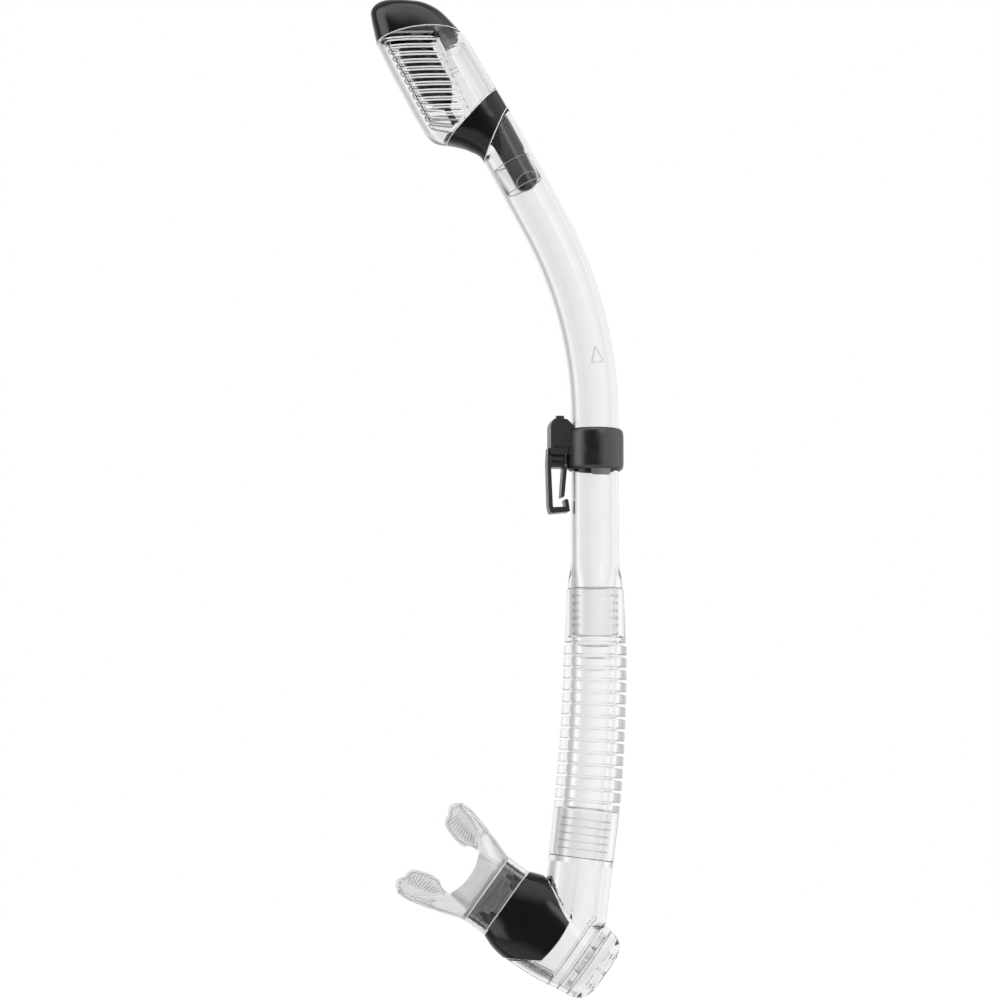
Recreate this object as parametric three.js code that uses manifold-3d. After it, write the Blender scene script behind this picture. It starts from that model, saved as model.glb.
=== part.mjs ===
// A dry-top snorkel: breathing tube with a float-valve head, mask-strap keeper, ribbed silicone
// hose, mouth chamber with a purge valve, and silicone mouthpiece. Millimetres, +Z up.
// The origin is on the tube's axis, beside the strap clip.
import * as THREE from "three";
import { mergeVertices } from "three/addons/utils/BufferGeometryUtils.js";
import Module from "manifold-3d";

const wasm = await Module();
wasm.setup();

// ---------------------------------------------------------------- driving dimensions
const GAP = 0.3; // between pieces that touch
const DEG = Math.PI / 180;

// breathing tube
const TUBE_R = 11.7;
const TUBE_WALL = 1.8;
const TUBE_STRAIGHT_TOP = 14; // height where the upper bend starts
const TUBE_BEND_R = 205;
const HEAD_TILT = 28.2 * DEG;
const TUBE_BOTTOM = -69.9;
const SPIGOT_R = 11; // the tube's lower end, inside the hose
const SPIGOT_BORE_R = 9.5;
const SPIGOT_LENGTH = 23;
const FLARE_R = 13.4;

// hose
const HOSE_TOP = -70.2;
const HOSE_BEND_START = -88;
const HOSE_BEND_R = 891;
const HOSE_LEAN = 7.2 * DEG;
const HOSE_BOTTOM = HOSE_BEND_START - HOSE_BEND_R * HOSE_LEAN - 0.9;
const RIB_COUNT = 13;
const RIB_PITCH = 5.88;
const RIB_HEIGHT = 4.6;
const FIRST_RIB_TOP = -97.8;
const HOSE_BORE_R = 10;
const GROOVE_R = 11.6;

// head, in its own frame: x across, y deep, z along the tube's tilted axis
const HEAD_WALL = 1.7;
const SECTION_POWER = 2.6; // superellipse power of the head's section
const HEAD_TOP = 137.5;
const COLLAR_TOP = { height: 66.5, slope: 0.356 };
const COLLAR_BOTTOM = { height: 51, slope: 0.79 };
const CAP_ARCH = { r: 70.5, x: -34.2, z: 48.8 }; // cylinder along y that splits cap from shell
const DUCT_LEFT = -2.2;
const DUCT_TOP = 97.3;
const DUCT_WALL = 1.4;
const OVAL_POWER = 2.1;
// the oval duct in the tube, lower and upper part: the middle and half widths of its section
const DUCT_LOW = { x: 2.3, halfX: 6.1, halfY: 6.9 };
const DUCT_HIGH = { x: 2.7, halfX: 6.6, halfY: 7.3 };
const DUCT_END = { z: 24.5, tilt: -24 * DEG }; // the plane that cuts the duct's end, tilted about x
const DUCT_STEP = [36, 39]; // where the section widens
const LIP = { inner: 8.9, outer: 9.6, bottom: 22, top: 34.6 };
const SLOT_COUNT = 12;
const SLOT_PITCH = 3.79;
const SLOT_HEIGHT = 1.7;
const TOP_SLOT_HEIGHT = 203.4; // world height of the top louvre slot
const SLOT_LEFT = -26.4;
const SLOT_RIGHT = -3.4;
const ROCKER_PIVOT = { x: -4, z: 113.8 };
const ROCKER_SLOPE = 16.7 * DEG;
const FLOAT_X = -15.2;
const PIN_R = 0.9;
const PIN_HOLE_R = PIN_R + GAP;

// keeper
const KEEPER_HEIGHT = 20.2;
const KEEPER_R = 14.2;
const RING_DROP = 1.65; // the ring's middle is this far below the origin
const KEEPER_TURN = 8 * DEG;
const CHANNEL = { x0: -20, x1: -15, halfY: 3 }; // room for the hook's stem in the housing

// mouth chamber, in its own frame: z along the mouth's axis, towards the mouth
const MOUTH_ORIGIN = [-52.9, 0, -215.5];
const MOUTH_TILT = 54.4 * DEG;
const STUB_R = 15.7;
const STUB_BORE_R = 13;
const STUB_SPIGOT_R = 12.1; // the stub's upper end, inside the hose
const STUB_LENGTH = 32;
const CHAMBER_WALL = 2.6;
const CHAMBER_FRONT = -12;
const CHAMBER_END = -60.6;
const PURGE_END = -70.5;
const MOUTH_ARC = { r: 24.7, z: 34.9 }; // the flange's concave front, a cylinder along y

// ---------------------------------------------------------------- helpers
// A closed geometry as a solid that can be joined and cut.
function solid(geometry) {
  const bare = geometry.index ? geometry.toNonIndexed() : geometry.clone();
  for (const name of Object.keys(bare.attributes)) if (name !== "position") bare.deleteAttribute(name);
  const merged = mergeVertices(bare, 1e-4);
  return new wasm.Manifold(
    new wasm.Mesh({
      numProp: 3,
      vertProperties: new Float32Array(merged.attributes.position.array),
      triVerts: new Uint32Array(merged.index.array),
    }),
  );
}

function geometryOf(manifold) {
  const mesh = manifold.getMesh();
  const geometry = new THREE.BufferGeometry();
  geometry.setAttribute("position", new THREE.BufferAttribute(new Float32Array(mesh.vertProperties), 3));
  geometry.setIndex(new THREE.BufferAttribute(new Uint32Array(mesh.triVerts), 1));
  geometry.computeVertexNormals();
  return geometry;
}

// Moves every vertex of a geometry by a function of its place.
function warp(geometry, place) {
  const p = geometry.attributes.position;
  for (let i = 0; i < p.count; i++) p.setXYZ(i, ...place(p.getX(i), p.getY(i), p.getZ(i)));
  return geometry;
}

// A lathe round Z from [radius, height] points, listed up the outside and down the inside.
function lathe(points, segments = 24) {
  const profile = points.map(([r, h]) => new THREE.Vector2(r, h));
  return new THREE.LatheGeometry(profile, segments).rotateX(Math.PI / 2);
}

const closedProfile = (points) => [...points, points[0]];

function box(x0, x1, y0, y1, z0, z1) {
  return new THREE.BoxGeometry(x1 - x0, y1 - y0, z1 - z0).translate(
    (x0 + x1) / 2,
    (y0 + y1) / 2,
    (z0 + z1) / 2,
  );
}

// A cylinder whose axis runs along y.
function crossCylinder(r, x, z, halfLength, segments = 48) {
  return new THREE.CylinderGeometry(r, r, 2 * halfLength, segments).translate(x, 0, z);
}

// A cylinder whose axis runs along z.
function uprightCylinder(r, x, y, z0, z1, segments = 24) {
  return new THREE.CylinderGeometry(r, r, z1 - z0, segments)
    .rotateX(Math.PI / 2)
    .translate(x, y, (z0 + z1) / 2);
}

// An outline of [x, z] points, extruded from y0 to y1.
function sidePlate(points, y0, y1) {
  const shape = new THREE.Shape(points.map(([x, z]) => new THREE.Vector2(x, z)));
  return new THREE.ExtrudeGeometry(shape, { depth: y1 - y0, bevelEnabled: false })
    .rotateX(Math.PI / 2)
    .translate(0, y1, 0);
}

// Linear reading of rows [at, value, value, ...].
function readRows(rows, at) {
  let i = 1;
  while (i < rows.length - 1 && rows[i][0] < at) i++;
  const [low, high] = [rows[i - 1], rows[i]];
  const t = THREE.MathUtils.clamp((at - low[0]) / (high[0] - low[0]), 0, 1);
  return low.map((value, k) => value + (high[k] - value) * t);
}

// A point of a superellipse of the given half sizes.
function ovalPoint(angle, halfX, halfY, power) {
  const part = (value) => Math.sign(value) * Math.abs(value) ** (2 / power);
  return [halfX * part(Math.cos(angle)), halfY * part(Math.sin(angle))];
}

// A closed form whose section changes along z. section(z) gives [centre, halfX, halfY, power].
function loft(heights, section, segments = 22) {
  const profile = heights.map((h) => [1, h]);
  const ends = [[0, heights[0]], ...profile, [0, heights.at(-1)]];
  return warp(lathe(ends, segments), (x, y, z) => {
    const [centre, halfX, halfY, power] = section(z);
    const [ox, oy] = ovalPoint(Math.atan2(y, x), halfX, halfY, power);
    const r = Math.hypot(x, y);
    return [centre + r * ox, r * oy, z];
  });
}

// A half space as a big slab above or below the plane z = height + slope * x.
function slab(plane, above, shift = 0) {
  const tall = 400;
  return warp(box(-200, 200, -200, 200, above ? 0 : -tall, above ? tall : 0), (x, y, z) => [
    x,
    y,
    z + plane.height + plane.slope * x + shift,
  ]);
}

function material(color, roughness, metalness = 0, opacity = 1) {
  return new THREE.MeshStandardMaterial({ color, roughness, metalness, opacity, transparent: opacity < 1 });
}

const clearPlastic = () => material(0xe9ecee, 0.12, 0, 0.45);
const clearSilicone = () => material(0xe6e8ea, 0.4, 0, 0.7);
const blackGloss = () => material(0x101011, 0.12);
const blackSatin = () => material(0x242426, 0.45);
const smokePlastic = () => material(0x4a4b4d, 0.2, 0, 0.85);
const greyRubber = () => material(0x3a3a3c, 0.6);
const steel = () => material(0xb8babd, 0.25, 1);

function part(name, geometry, finish) {
  const mesh = new THREE.Mesh(geometry.isBufferGeometry ? geometry : geometryOf(geometry), finish);
  mesh.name = name;
  return mesh;
}

// ---------------------------------------------------------------- the tube's centre line
// Takes a straight tube's point (x, y, along) to the bent one: the upper bend leans towards -X,
// and so does the hose's slighter bend below.
function bent(x, y, along) {
  const up = along > TUBE_STRAIGHT_TOP;
  const down = along < HOSE_BEND_START;
  if (!up && !down) return [x, y, along];
  const start = up ? TUBE_STRAIGHT_TOP : HOSE_BEND_START;
  const r = up ? TUBE_BEND_R : HOSE_BEND_R;
  const limit = up ? HEAD_TILT : HOSE_LEAN;
  const sign = up ? 1 : -1;
  const run = Math.abs(along - start);
  const turn = Math.min(run / r, limit);
  const rest = run - turn * r;
  const cx = -r * (1 - Math.cos(turn)) - rest * Math.sin(turn);
  const cz = start + sign * (r * Math.sin(turn) + rest * Math.cos(turn));
  return [cx + x * Math.cos(turn), y, cz + sign * x * Math.sin(turn)];
}

// ---------------------------------------------------------------- breathing tube
function mainTube() {
  const inner = TUBE_R - TUBE_WALL;
  const bendTop = TUBE_STRAIGHT_TOP + TUBE_BEND_R * HEAD_TILT;
  const top = bendTop + COLLAR_BOTTOM.height - GAP / 2;
  const steps = 8;
  const bendStops = Array.from(
    { length: steps + 1 },
    (_, i) => TUBE_STRAIGHT_TOP + ((bendTop - TUBE_STRAIGHT_TOP) * i) / steps,
  );
  const outer = [
    [SPIGOT_BORE_R, TUBE_BOTTOM - SPIGOT_LENGTH],
    [SPIGOT_R, TUBE_BOTTOM - SPIGOT_LENGTH],
    [SPIGOT_R, TUBE_BOTTOM],
    [FLARE_R, TUBE_BOTTOM],
    [FLARE_R - 0.1, TUBE_BOTTOM + 4],
    [TUBE_R + 0.3, TUBE_BOTTOM + 9.5],
    [TUBE_R, TUBE_BOTTOM + 14],
    ...bendStops.map((h) => [TUBE_R, h]),
    [TUBE_R, top],
  ];
  const bore = [
    [inner, top],
    ...bendStops.toReversed().map((h) => [inner, h]),
    [inner, TUBE_BOTTOM + 6],
    [SPIGOT_BORE_R, TUBE_BOTTOM],
  ];
  const straight = lathe(closedProfile([...outer, ...bore]), 22);
  return warp(straight, (x, y, h) => bent(x, y, h > top - 1e-3 ? h + COLLAR_BOTTOM.slope * x : h));
}

// ---------------------------------------------------------------- head
// Rows of [height, left edge, right edge, half depth] of the head's outer form.
const HEAD_ROWS = [
  [40, -11.7, 11.7, 11.7],
  [44, -12, 11.7, 11.8],
  [50.5, -15.8, 11.6, 12.6],
  [57.5, -23, 11.4, 13.9],
  [61, -27.9, 11.2, 14.4],
  [65.5, -30.4, 11.1, 14.8],
  [70, -31.2, 10.9, 15],
  [100, -31.4, 9.6, 15],
  [110, -31.2, 7.5, 14.7],
  [118, -30.8, 5.2, 13.7],
  [125.5, -29, 0.6, 11.8],
  [131.5, -27.2, -6.9, 8.9],
  [135.5, -25.2, -13.6, 5.2],
  [HEAD_TOP, -22.4, -17.8, 1.6],
];

// The head's outer form, moved inwards by inset all round.
function headForm(inset = 0, from = HEAD_ROWS[0][0]) {
  const topSink = (z) => inset * THREE.MathUtils.smoothstep(z, 104, HEAD_TOP);
  const heights = [from, ...HEAD_ROWS.map((row) => row[0]).filter((h) => h > from + 0.5)];
  const form = loft(heights, (z) => {
    const [, left, right, depth] = readRows(HEAD_ROWS, z);
    const power = THREE.MathUtils.lerp(2, SECTION_POWER, THREE.MathUtils.smoothstep(z, 44, 66));
    const halfX = Math.max((right - left) / 2 - inset, 0.6);
    return [(left + right) / 2, halfX, Math.max(depth - inset, 0.6), power];
  });
  return solid(warp(form, (x, y, z) => [x, y, z - topSink(z)]));
}

const archCutter = (extra) => solid(crossCylinder(CAP_ARCH.r + extra, CAP_ARCH.x, CAP_ARCH.z, 40, 64));

function topCap() {
  const hollow = headForm(HEAD_WALL);
  return headForm().subtract(hollow).subtract(archCutter(GAP / 2));
}

// World-level slots, turned into the head's frame.
function louvreCutters() {
  const cutters = [];
  const world = bent(0, 0, TUBE_STRAIGHT_TOP + TUBE_BEND_R * HEAD_TILT);
  const length = (SLOT_RIGHT - SLOT_LEFT) / Math.cos(HEAD_TILT);
  const middle = (SLOT_RIGHT + SLOT_LEFT) / 2;
  for (let i = 0; i < SLOT_COUNT; i++) {
    const lift = TOP_SLOT_HEIGHT - i * SLOT_PITCH - world[2];
    const along = (lift - middle * Math.sin(HEAD_TILT)) / Math.cos(HEAD_TILT);
    const slot = box(-length / 2, length / 2, -20, 20, -SLOT_HEIGHT / 2, SLOT_HEIGHT / 2);
    cutters.push(solid(slot.rotateY(HEAD_TILT).translate(middle, 0, along)));
  }
  return cutters;
}

function headShell() {
  let shell = headForm().subtract(headForm(HEAD_WALL, 41));
  shell = shell.intersect(archCutter(-GAP / 2));
  shell = shell.intersect(solid(slab(COLLAR_TOP, true, GAP / 2)));
  for (const slot of louvreCutters()) shell = shell.subtract(slot);
  return shell;
}

function headCollar() {
  return headForm()
    .subtract(headForm(HEAD_WALL + 0.3, 39))
    .intersect(solid(slab(COLLAR_TOP, false, -GAP / 2)))
    .intersect(solid(slab(COLLAR_BOTTOM, true, GAP / 2)));
}

// The D-shaped room on the right of the partition, moved inwards by inset.
function ductRoom(inset, z0, z1) {
  const wall = HEAD_WALL + GAP + inset;
  return headForm(wall).intersect(solid(box(DUCT_LEFT + inset, 20, -20, 20, z0, z1)));
}

function airDuct() {
  const floorTop = { height: COLLAR_TOP.height + 2.4, slope: COLLAR_TOP.slope };
  const floor = headForm(HEAD_WALL + GAP)
    .intersect(solid(slab(COLLAR_TOP, true, GAP)))
    .intersect(solid(slab(floorTop, false)));
  let duct = ductRoom(0, 60, DUCT_TOP).intersect(solid(slab(COLLAR_TOP, true, GAP))).add(floor);
  for (const side of [-1, 1]) {
    const [near, far] = [side * 4.2, side * 5.8].sort((a, b) => a - b);
    const ear = box(-5.4, -2.6, near, far, DUCT_TOP - 8, ROCKER_PIVOT.z + 2);
    const foot = box(-4, DUCT_LEFT + 1, near, far, DUCT_TOP - 8, DUCT_TOP);
    duct = duct.add(solid(ear)).add(solid(foot));
  }
  const pinHole = crossCylinder(PIN_HOLE_R, ROCKER_PIVOT.x, ROCKER_PIVOT.z, 12, 16);
  return duct.subtract(ductRoom(DUCT_WALL, 50, 130)).subtract(solid(pinHole));
}

// Oval duct down into the tube, open at both ends.
function ductSpigot() {
  const room = headForm(HEAD_WALL + 2 * GAP, 39);
  const outside = solid(box(-60, 60, -60, 60, 41, 120)).subtract(room);
  const section = (inset) => (h) => {
    const row = h < DUCT_STEP[1] ? DUCT_LOW : DUCT_HIGH;
    return [row.x, row.halfX - inset, row.halfY - inset, OVAL_POWER];
  };
  const tube = solid(loft([15, ...DUCT_STEP, 80], section(0), 24));
  const bore = solid(loft([14, ...DUCT_STEP, 81], section(DUCT_WALL), 24));
  const below = solid(box(-20, 20, -20, 20, -20, 0).rotateX(DUCT_END.tilt).translate(0, 0, DUCT_END.z));
  return tube.subtract(bore).subtract(below).intersect(solid(slab(COLLAR_TOP, false))).subtract(outside);
}

function spigotLip() {
  const { inner, outer, bottom, top } = LIP;
  const corners = [[inner, bottom], [outer, bottom], [outer, top], [inner, top]];
  return lathe(closedProfile(corners), 32);
}

function sealSeat() {
  const [z0, z1] = [DUCT_TOP + GAP, DUCT_TOP + 1.3];
  return ductRoom(0, z0, z1).subtract(ductRoom(DUCT_WALL, z0 - 1, z1 + 1));
}

function sealPlug() {
  const plug = ductRoom(1.2, 102, 108.6);
  return plug.add(solid(box(1.6, 3.4, -2, 2, 107, 110.2)));
}

function rockerArm() {
  const bar = box(-11.2, 7.6, -3.6, 3.6, -1, 1).rotateY(ROCKER_SLOPE);
  const boss = crossCylinder(2, 0, 0, 3.6, 20);
  const hole = crossCylinder(PIN_HOLE_R, 0, 0, 8, 16);
  return solid(bar)
    .add(solid(boss))
    .subtract(solid(hole))
    .translate([ROCKER_PIVOT.x, 0, ROCKER_PIVOT.z]);
}

const rockerPin = () => crossCylinder(PIN_R, ROCKER_PIVOT.x, ROCKER_PIVOT.z, 6.6, 16);

// Float, with a blind bore that runs on the guide pin, and a post under the rocker's end.
function valveFloat() {
  const rows = [
    [74.5, 3.4, 3.6],
    [79, 5.6, 6.6],
    [86, 8.2, 8.8],
    [108, 8.2, 8.8],
    [112, 6.6, 7.2],
  ];
  const body = loft(
    rows.map((row) => row[0]),
    (z) => {
      const [, halfX, halfY] = readRows(rows, z);
      return [FLOAT_X, halfX, halfY, 2.6];
    },
    20,
  );
  const post = box(-15.6, -13.4, -2, 2, 111, 115.3);
  return solid(body)
    .add(solid(post))
    .subtract(solid(uprightCylinder(2, FLOAT_X, 0, 70, 94, 12)));
}

// The pin stands on the duct's floor plate.
function floatGuide() {
  const foot = COLLAR_TOP.height + COLLAR_TOP.slope * FLOAT_X + 2.4;
  const pin = lathe([[0, 0], [3, 0], [3, 1.4], [1.6, 1.4], [1.6, 24], [0, 25]], 12);
  return warp(pin, (x, y, z) => [
    x + FLOAT_X,
    y,
    z + foot + GAP + (z < 2 ? COLLAR_TOP.slope * x : 0),
  ]);
}

function head() {
  const group = new THREE.Group();
  group.position.set(...bent(0, 0, TUBE_STRAIGHT_TOP + TUBE_BEND_R * HEAD_TILT));
  group.rotation.y = -HEAD_TILT;
  group.add(
    part("top_cap", topCap(), blackGloss()),
    part("head_shell", headShell(), clearPlastic()),
    part("head_collar", headCollar(), blackGloss()),
    part("air_duct", airDuct(), clearPlastic()),
    part("duct_spigot", ductSpigot(), smokePlastic()),
    part("spigot_lip", spigotLip(), clearPlastic()),
    part("seal_seat", sealSeat(), clearSilicone()),
    part("seal_plug", sealPlug(), greyRubber()),
    part("rocker_arm", rockerArm(), blackSatin()),
    part("rocker_pin", rockerPin(), steel()),
    part("float", valveFloat(), greyRubber()),
    part("float_guide", floatGuide(), greyRubber()),
  );
  return group;
}

// ---------------------------------------------------------------- keeper and strap clip
// A ring round the tube with rounded edges.
function ringBand(inner, outer, height, round) {
  const half = height / 2;
  return closedProfile([
    [inner, -half],
    [outer - round, -half],
    [outer - round * 0.3, -half + round * 0.3],
    [outer, -half + round],
    [outer, half - round],
    [outer - round * 0.3, half - round * 0.3],
    [outer - round, half],
    [inner, half],
  ]);
}

function clipHousing() {
  const outline = [
    [-22.7, -4.5],
    [-22.7, 10.9],
    [-21.2, 12.9],
    [-13.4, 12.9],
    [-11, 10.9],
    [-11, -4.5],
  ];
  const ringRoom = uprightCylinder(KEEPER_R + GAP, 0, 0, -20, KEEPER_HEIGHT / 2 - RING_DROP + GAP, 48);
  const tubeRoom = uprightCylinder(TUBE_R + GAP, 0, 0, -20, 20, 48);
  const channel = box(CHANNEL.x0, CHANNEL.x1, -CHANNEL.halfY, CHANNEL.halfY, -20, 20);
  return solid(sidePlate(outline, -6, 6))
    .subtract(solid(ringRoom))
    .subtract(solid(tubeRoom))
    .subtract(solid(channel));
}

// Block and stem that plug into the housing, and the open hook that the strap lies in.
function strapHook() {
  const outline = [
    [-23.7, -4.8],
    [-24.1, -8.2],
    [-23.5, -30],
    [-22.6, -33.4],
    [-12.9, -32.4],
    [-13.9, -26.3],
    [-15.8, -26.5],
    [-15.1, -30],
    [-21.4, -30.4],
    [-22.3, -10.8],
    [-14.7, -10.8],
    [-14.7, -4.8],
  ];
  const stem = box(CHANNEL.x0 + GAP, CHANNEL.x1 - GAP, -2.7, 2.7, -6, 8);
  const gateRoom = box(-16.7, -14, -5, 5, -12, -9.4);
  return solid(sidePlate(outline, -4.2, 4.2)).add(solid(stem)).subtract(solid(gateRoom));
}

function strapGate() {
  const outline = [
    [-16.4, -9.7],
    [-14.8, -9.7],
    [-14.4, -11.4],
    [-15.7, -25.2],
    [-17.4, -25.5],
    [-16.4, -12],
  ];
  return sidePlate(outline, -4, 4);
}

function releaseButton() {
  const [x0, x1] = [CHANNEL.x0 + GAP, CHANNEL.x1 - GAP];
  const guide = box(x0, x1, -2.7, 2.7, 10.6, 13.2);
  const tip = box(x0 + 0.4, x1 - 0.2, -2.2, 2.2, 13, 14.9);
  return solid(guide).add(solid(tip));
}

// The clip's small compression spring, drawn as a sleeve of its outer size.
function buttonSpring() {
  const middle = (CHANNEL.x0 + CHANNEL.x1) / 2;
  const sleeve = closedProfile([[1, 8.3], [1.8, 8.3], [1.8, 10.3], [1, 10.3]]);
  return lathe(sleeve, 16).translate(middle, 0, 0);
}

function keeper() {
  const group = new THREE.Group();
  group.rotation.z = KEEPER_TURN;
  const linerInner = TUBE_R + GAP;
  const linerOuter = linerInner + 0.9;
  const half = KEEPER_HEIGHT / 2 - 0.5;
  const linerBand = closedProfile([
    [linerInner, -half],
    [linerOuter, -half],
    [linerOuter, half],
    [linerInner, half],
  ]);
  const ring = ringBand(linerOuter + 0.2, KEEPER_R, KEEPER_HEIGHT, 1);
  group.add(
    part("keeper_liner", lathe(linerBand, 28).translate(0, 0, -RING_DROP), greyRubber()),
    part("keeper_ring", lathe(ring, 36).translate(0, 0, -RING_DROP), blackSatin()),
    part("clip_housing", clipHousing(), blackSatin()),
    part("strap_hook", strapHook(), blackSatin()),
    part("strap_gate", strapGate(), blackSatin()),
    part("release_button", releaseButton(), blackSatin()),
    part("button_spring", buttonSpring(), steel()),
  );
  return group;
}

// ---------------------------------------------------------------- ribbed hose
function flexHose() {
  const outer = [
    [13.9, HOSE_TOP],
    [15, FIRST_RIB_TOP + 1.6],
    [GROOVE_R, FIRST_RIB_TOP + 1.4],
  ];
  for (let i = 0; i < RIB_COUNT; i++) {
    const top = FIRST_RIB_TOP - i * RIB_PITCH;
    const r = 15.4 + (0.75 * i) / (RIB_COUNT - 1);
    outer.push([GROOVE_R, top], [r, top], [r, top - RIB_HEIGHT], [GROOVE_R, top - RIB_HEIGHT]);
  }
  const cuffTop = FIRST_RIB_TOP - RIB_COUNT * RIB_PITCH;
  outer.push([GROOVE_R, cuffTop], [16.05, cuffTop], [15.75, HOSE_BOTTOM]);
  const bore = [
    [STUB_SPIGOT_R + 2 * GAP, HOSE_BOTTOM],
    [STUB_SPIGOT_R + 2 * GAP, HOSE_BOTTOM + 23.2],
    [HOSE_BORE_R, HOSE_BOTTOM + 24],
    ...[-150, -120].map((h) => [HOSE_BORE_R, h]),
    [HOSE_BORE_R, TUBE_BOTTOM - SPIGOT_LENGTH - 1],
    [SPIGOT_R + GAP, TUBE_BOTTOM - SPIGOT_LENGTH - 0.4],
    [SPIGOT_R + GAP, HOSE_TOP],
  ];
  const upwards = [...outer, ...bore].toReversed();
  return warp(lathe(closedProfile(upwards), 18), bent);
}

// ---------------------------------------------------------------- mouth chamber
// Rows of [height, half width, half depth, power] of the chamber's outer form.
const CHAMBER_ROWS = [
  [CHAMBER_END, 18.7, 18.6, 2],
  [-56, 19.2, 18.6, 2],
  [-50, 20.3, 18.5, 2.1],
  [-42, 21.4, 18.2, 2.2],
  [-34, 21.9, 17.8, 2.3],
  [-26, 22, 17.2, 2.4],
  [-19, 21.1, 15.8, 2.4],
  [CHAMBER_FRONT, 18.6, 13.4, 2.4],
];

// The chamber's outer form, grown by offset all round, and by reach past both of its ends.
function chamberForm(offset, reach = 0) {
  const heights = CHAMBER_ROWS.map((row) => row[0]);
  const ends = reach ? [heights[0] - reach, ...heights, heights.at(-1) + reach] : heights;
  return solid(
    loft(
      ends,
      (z) => {
        const [, halfX, halfY, power] = readRows(CHAMBER_ROWS, z);
        return [0, halfX + offset, halfY + offset, power];
      },
      24,
    ),
  );
}

// The six-sided outline of the cover plates, seen along y, grown by extra.
function coverPrism(extra, y0, y1) {
  const e = extra;
  const end = -41 - e;
  const bulge = 1.4;
  const outline = [
    [19.6 + e, -12 + e + 4],
    [19.6 + e, -12],
    [23.6 + e, -23.4],
    [12.6 + e * 0.8, end],
    [6.2, end - bulge * 0.75],
    [0, end - bulge],
    [-6.2, end - bulge * 0.75],
    [-12.6 - e * 0.8, end],
    [-23.6 - e, -23.4],
    [-19.6 - e, -12],
    [-19.6 - e, -12 + e + 4],
  ];
  return solid(sidePlate(outline, y0, y1));
}

// A cylinder along the stub, from its top down by length, in the mouth's frame.
function stubCylinder(r, from, to, segments = 28) {
  const cylinder = uprightCylinder(r, 0, 0, -to, -from, segments);
  const [cx, , cz] = bent(0, 0, HOSE_BOTTOM);
  cylinder.rotateY(HOSE_LEAN).translate(cx, 0, cz);
  const toMouth = new THREE.Matrix4()
    .makeRotationY(-MOUTH_TILT)
    .setPosition(...MOUTH_ORIGIN)
    .invert();
  return solid(cylinder.applyMatrix4(toMouth));
}

function chamberBody() {
  const shape = chamberForm(0)
    .add(stubCylinder(STUB_R, GAP, STUB_LENGTH))
    .add(stubCylinder(STUB_SPIGOT_R, -22.6, 3, 24));
  const recess = coverPrism(GAP, -40, 40).subtract(chamberForm(-1.5, 5));
  const body = shape.subtract(recess.subtract(stubCylinder(STUB_R + 1, -30, STUB_LENGTH)));
  return body
    .subtract(chamberForm(-CHAMBER_WALL, 5))
    .subtract(stubCylinder(STUB_BORE_R, 3, STUB_LENGTH + 1))
    .subtract(stubCylinder(10.3, -30, 4, 24));
}

function cover(side) {
  const [y0, y1] = side < 0 ? [-40, -GAP / 2] : [GAP / 2, 40];
  return chamberForm(0.25)
    .subtract(chamberForm(-1.2, 5))
    .intersect(coverPrism(0, y0, y1))
    .subtract(stubCylinder(STUB_R + 1 + GAP, -30, STUB_LENGTH + GAP));
}

// Oval tube with two barbs that grip the mouthpiece's sleeve.
function mouthSpigot() {
  const front = CHAMBER_FRONT + GAP;
  const rows = [
    [front - 6, 15.5, 10.3],
    [front - 0.01, 15.5, 10.3],
    [front, 16.9, 11.1],
    [1.6, 16.9, 11.1],
    [2, 16.5, 10.7],
  ];
  const outer = loft(
    rows.map((row) => row[0]),
    (z) => {
      const [, halfX, halfY] = readRows(rows, z);
      return [0, halfX, halfY, 2.4];
    },
    24,
  );
  const bore = loft([front - 8, 4], () => [0, 14, 8.9, 2.4], 24);
  return solid(outer).subtract(solid(bore));
}

// Half outline of one bite tab, seen along y.
const TAB = [
  [13, 13.4],
  [10.4, 18.5],
  [9.8, 22.5],
  [10.1, 26],
  [11.5, 30.8],
  [13, 34.4],
  [15, 35.7],
  [18.6, 36],
  [20.4, 37.6],
  [22.4, 38],
  [25, 36.6],
  [26.8, 33.5],
  [25.4, 25],
  [23.2, 17.5],
  [19, 12],
];

function mouthpiece() {
  const rows = [
    [CHAMBER_FRONT + GAP * 2, 18.5, 12.7],
    [0, 18.6, 12.8],
    [5, 20, 12.4],
    [11.5, 22.2, 11.8],
    [18, 24.2, 11.2],
    [24.5, 25.9, 10.4],
    [30, 27, 8.6],
    [33.5, 27, 6],
  ];
  const form = loft(
    rows.map((row) => row[0]),
    (z) => {
      const [, halfX, halfY] = readRows(rows, z);
      return [0, halfX, halfY, THREE.MathUtils.lerp(2.4, 4, THREE.MathUtils.smoothstep(z, 0, 14))];
    },
    24,
  );
  let piece = solid(form).subtract(solid(crossCylinder(MOUTH_ARC.r, 0, MOUTH_ARC.z, 30, 44)));
  for (const side of [-1, 1]) {
    const outline = TAB.map(([x, z]) => [side * x, z]);
    piece = piece.add(solid(sidePlate(side < 0 ? outline.toReversed() : outline, -2.5, 2.5)));
  }
  const sleeve = loft([-20, 2.4], () => [0, 17.2, 11.4, 2.4], 24);
  const port = loft([0, 20], () => [0, 12.5, 8, 2.2], 20);
  return piece.subtract(solid(sleeve)).subtract(solid(port));
}

// Seat of the purge valve: a rim, a hub and six spokes.
function purgeSeat() {
  const [z0, z1] = [CHAMBER_END + 1.4, CHAMBER_END + 3.4];
  const rim = lathe(closedProfile([[13.2, z0], [15.7, z0], [15.7, z1], [13.2, z1]]), 24);
  let seat = solid(rim).add(solid(uprightCylinder(3, 0, 0, z0, z1, 12)));
  for (let i = 0; i < 3; i++) {
    seat = seat.add(solid(box(-14, 14, -0.8, 0.8, z0, z1).rotateZ((i * Math.PI) / 3)));
  }
  return seat;
}

const purgeDisc = () => uprightCylinder(14.4, 0, 0, CHAMBER_END + 0.2, CHAMBER_END + 1.1, 24);

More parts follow.
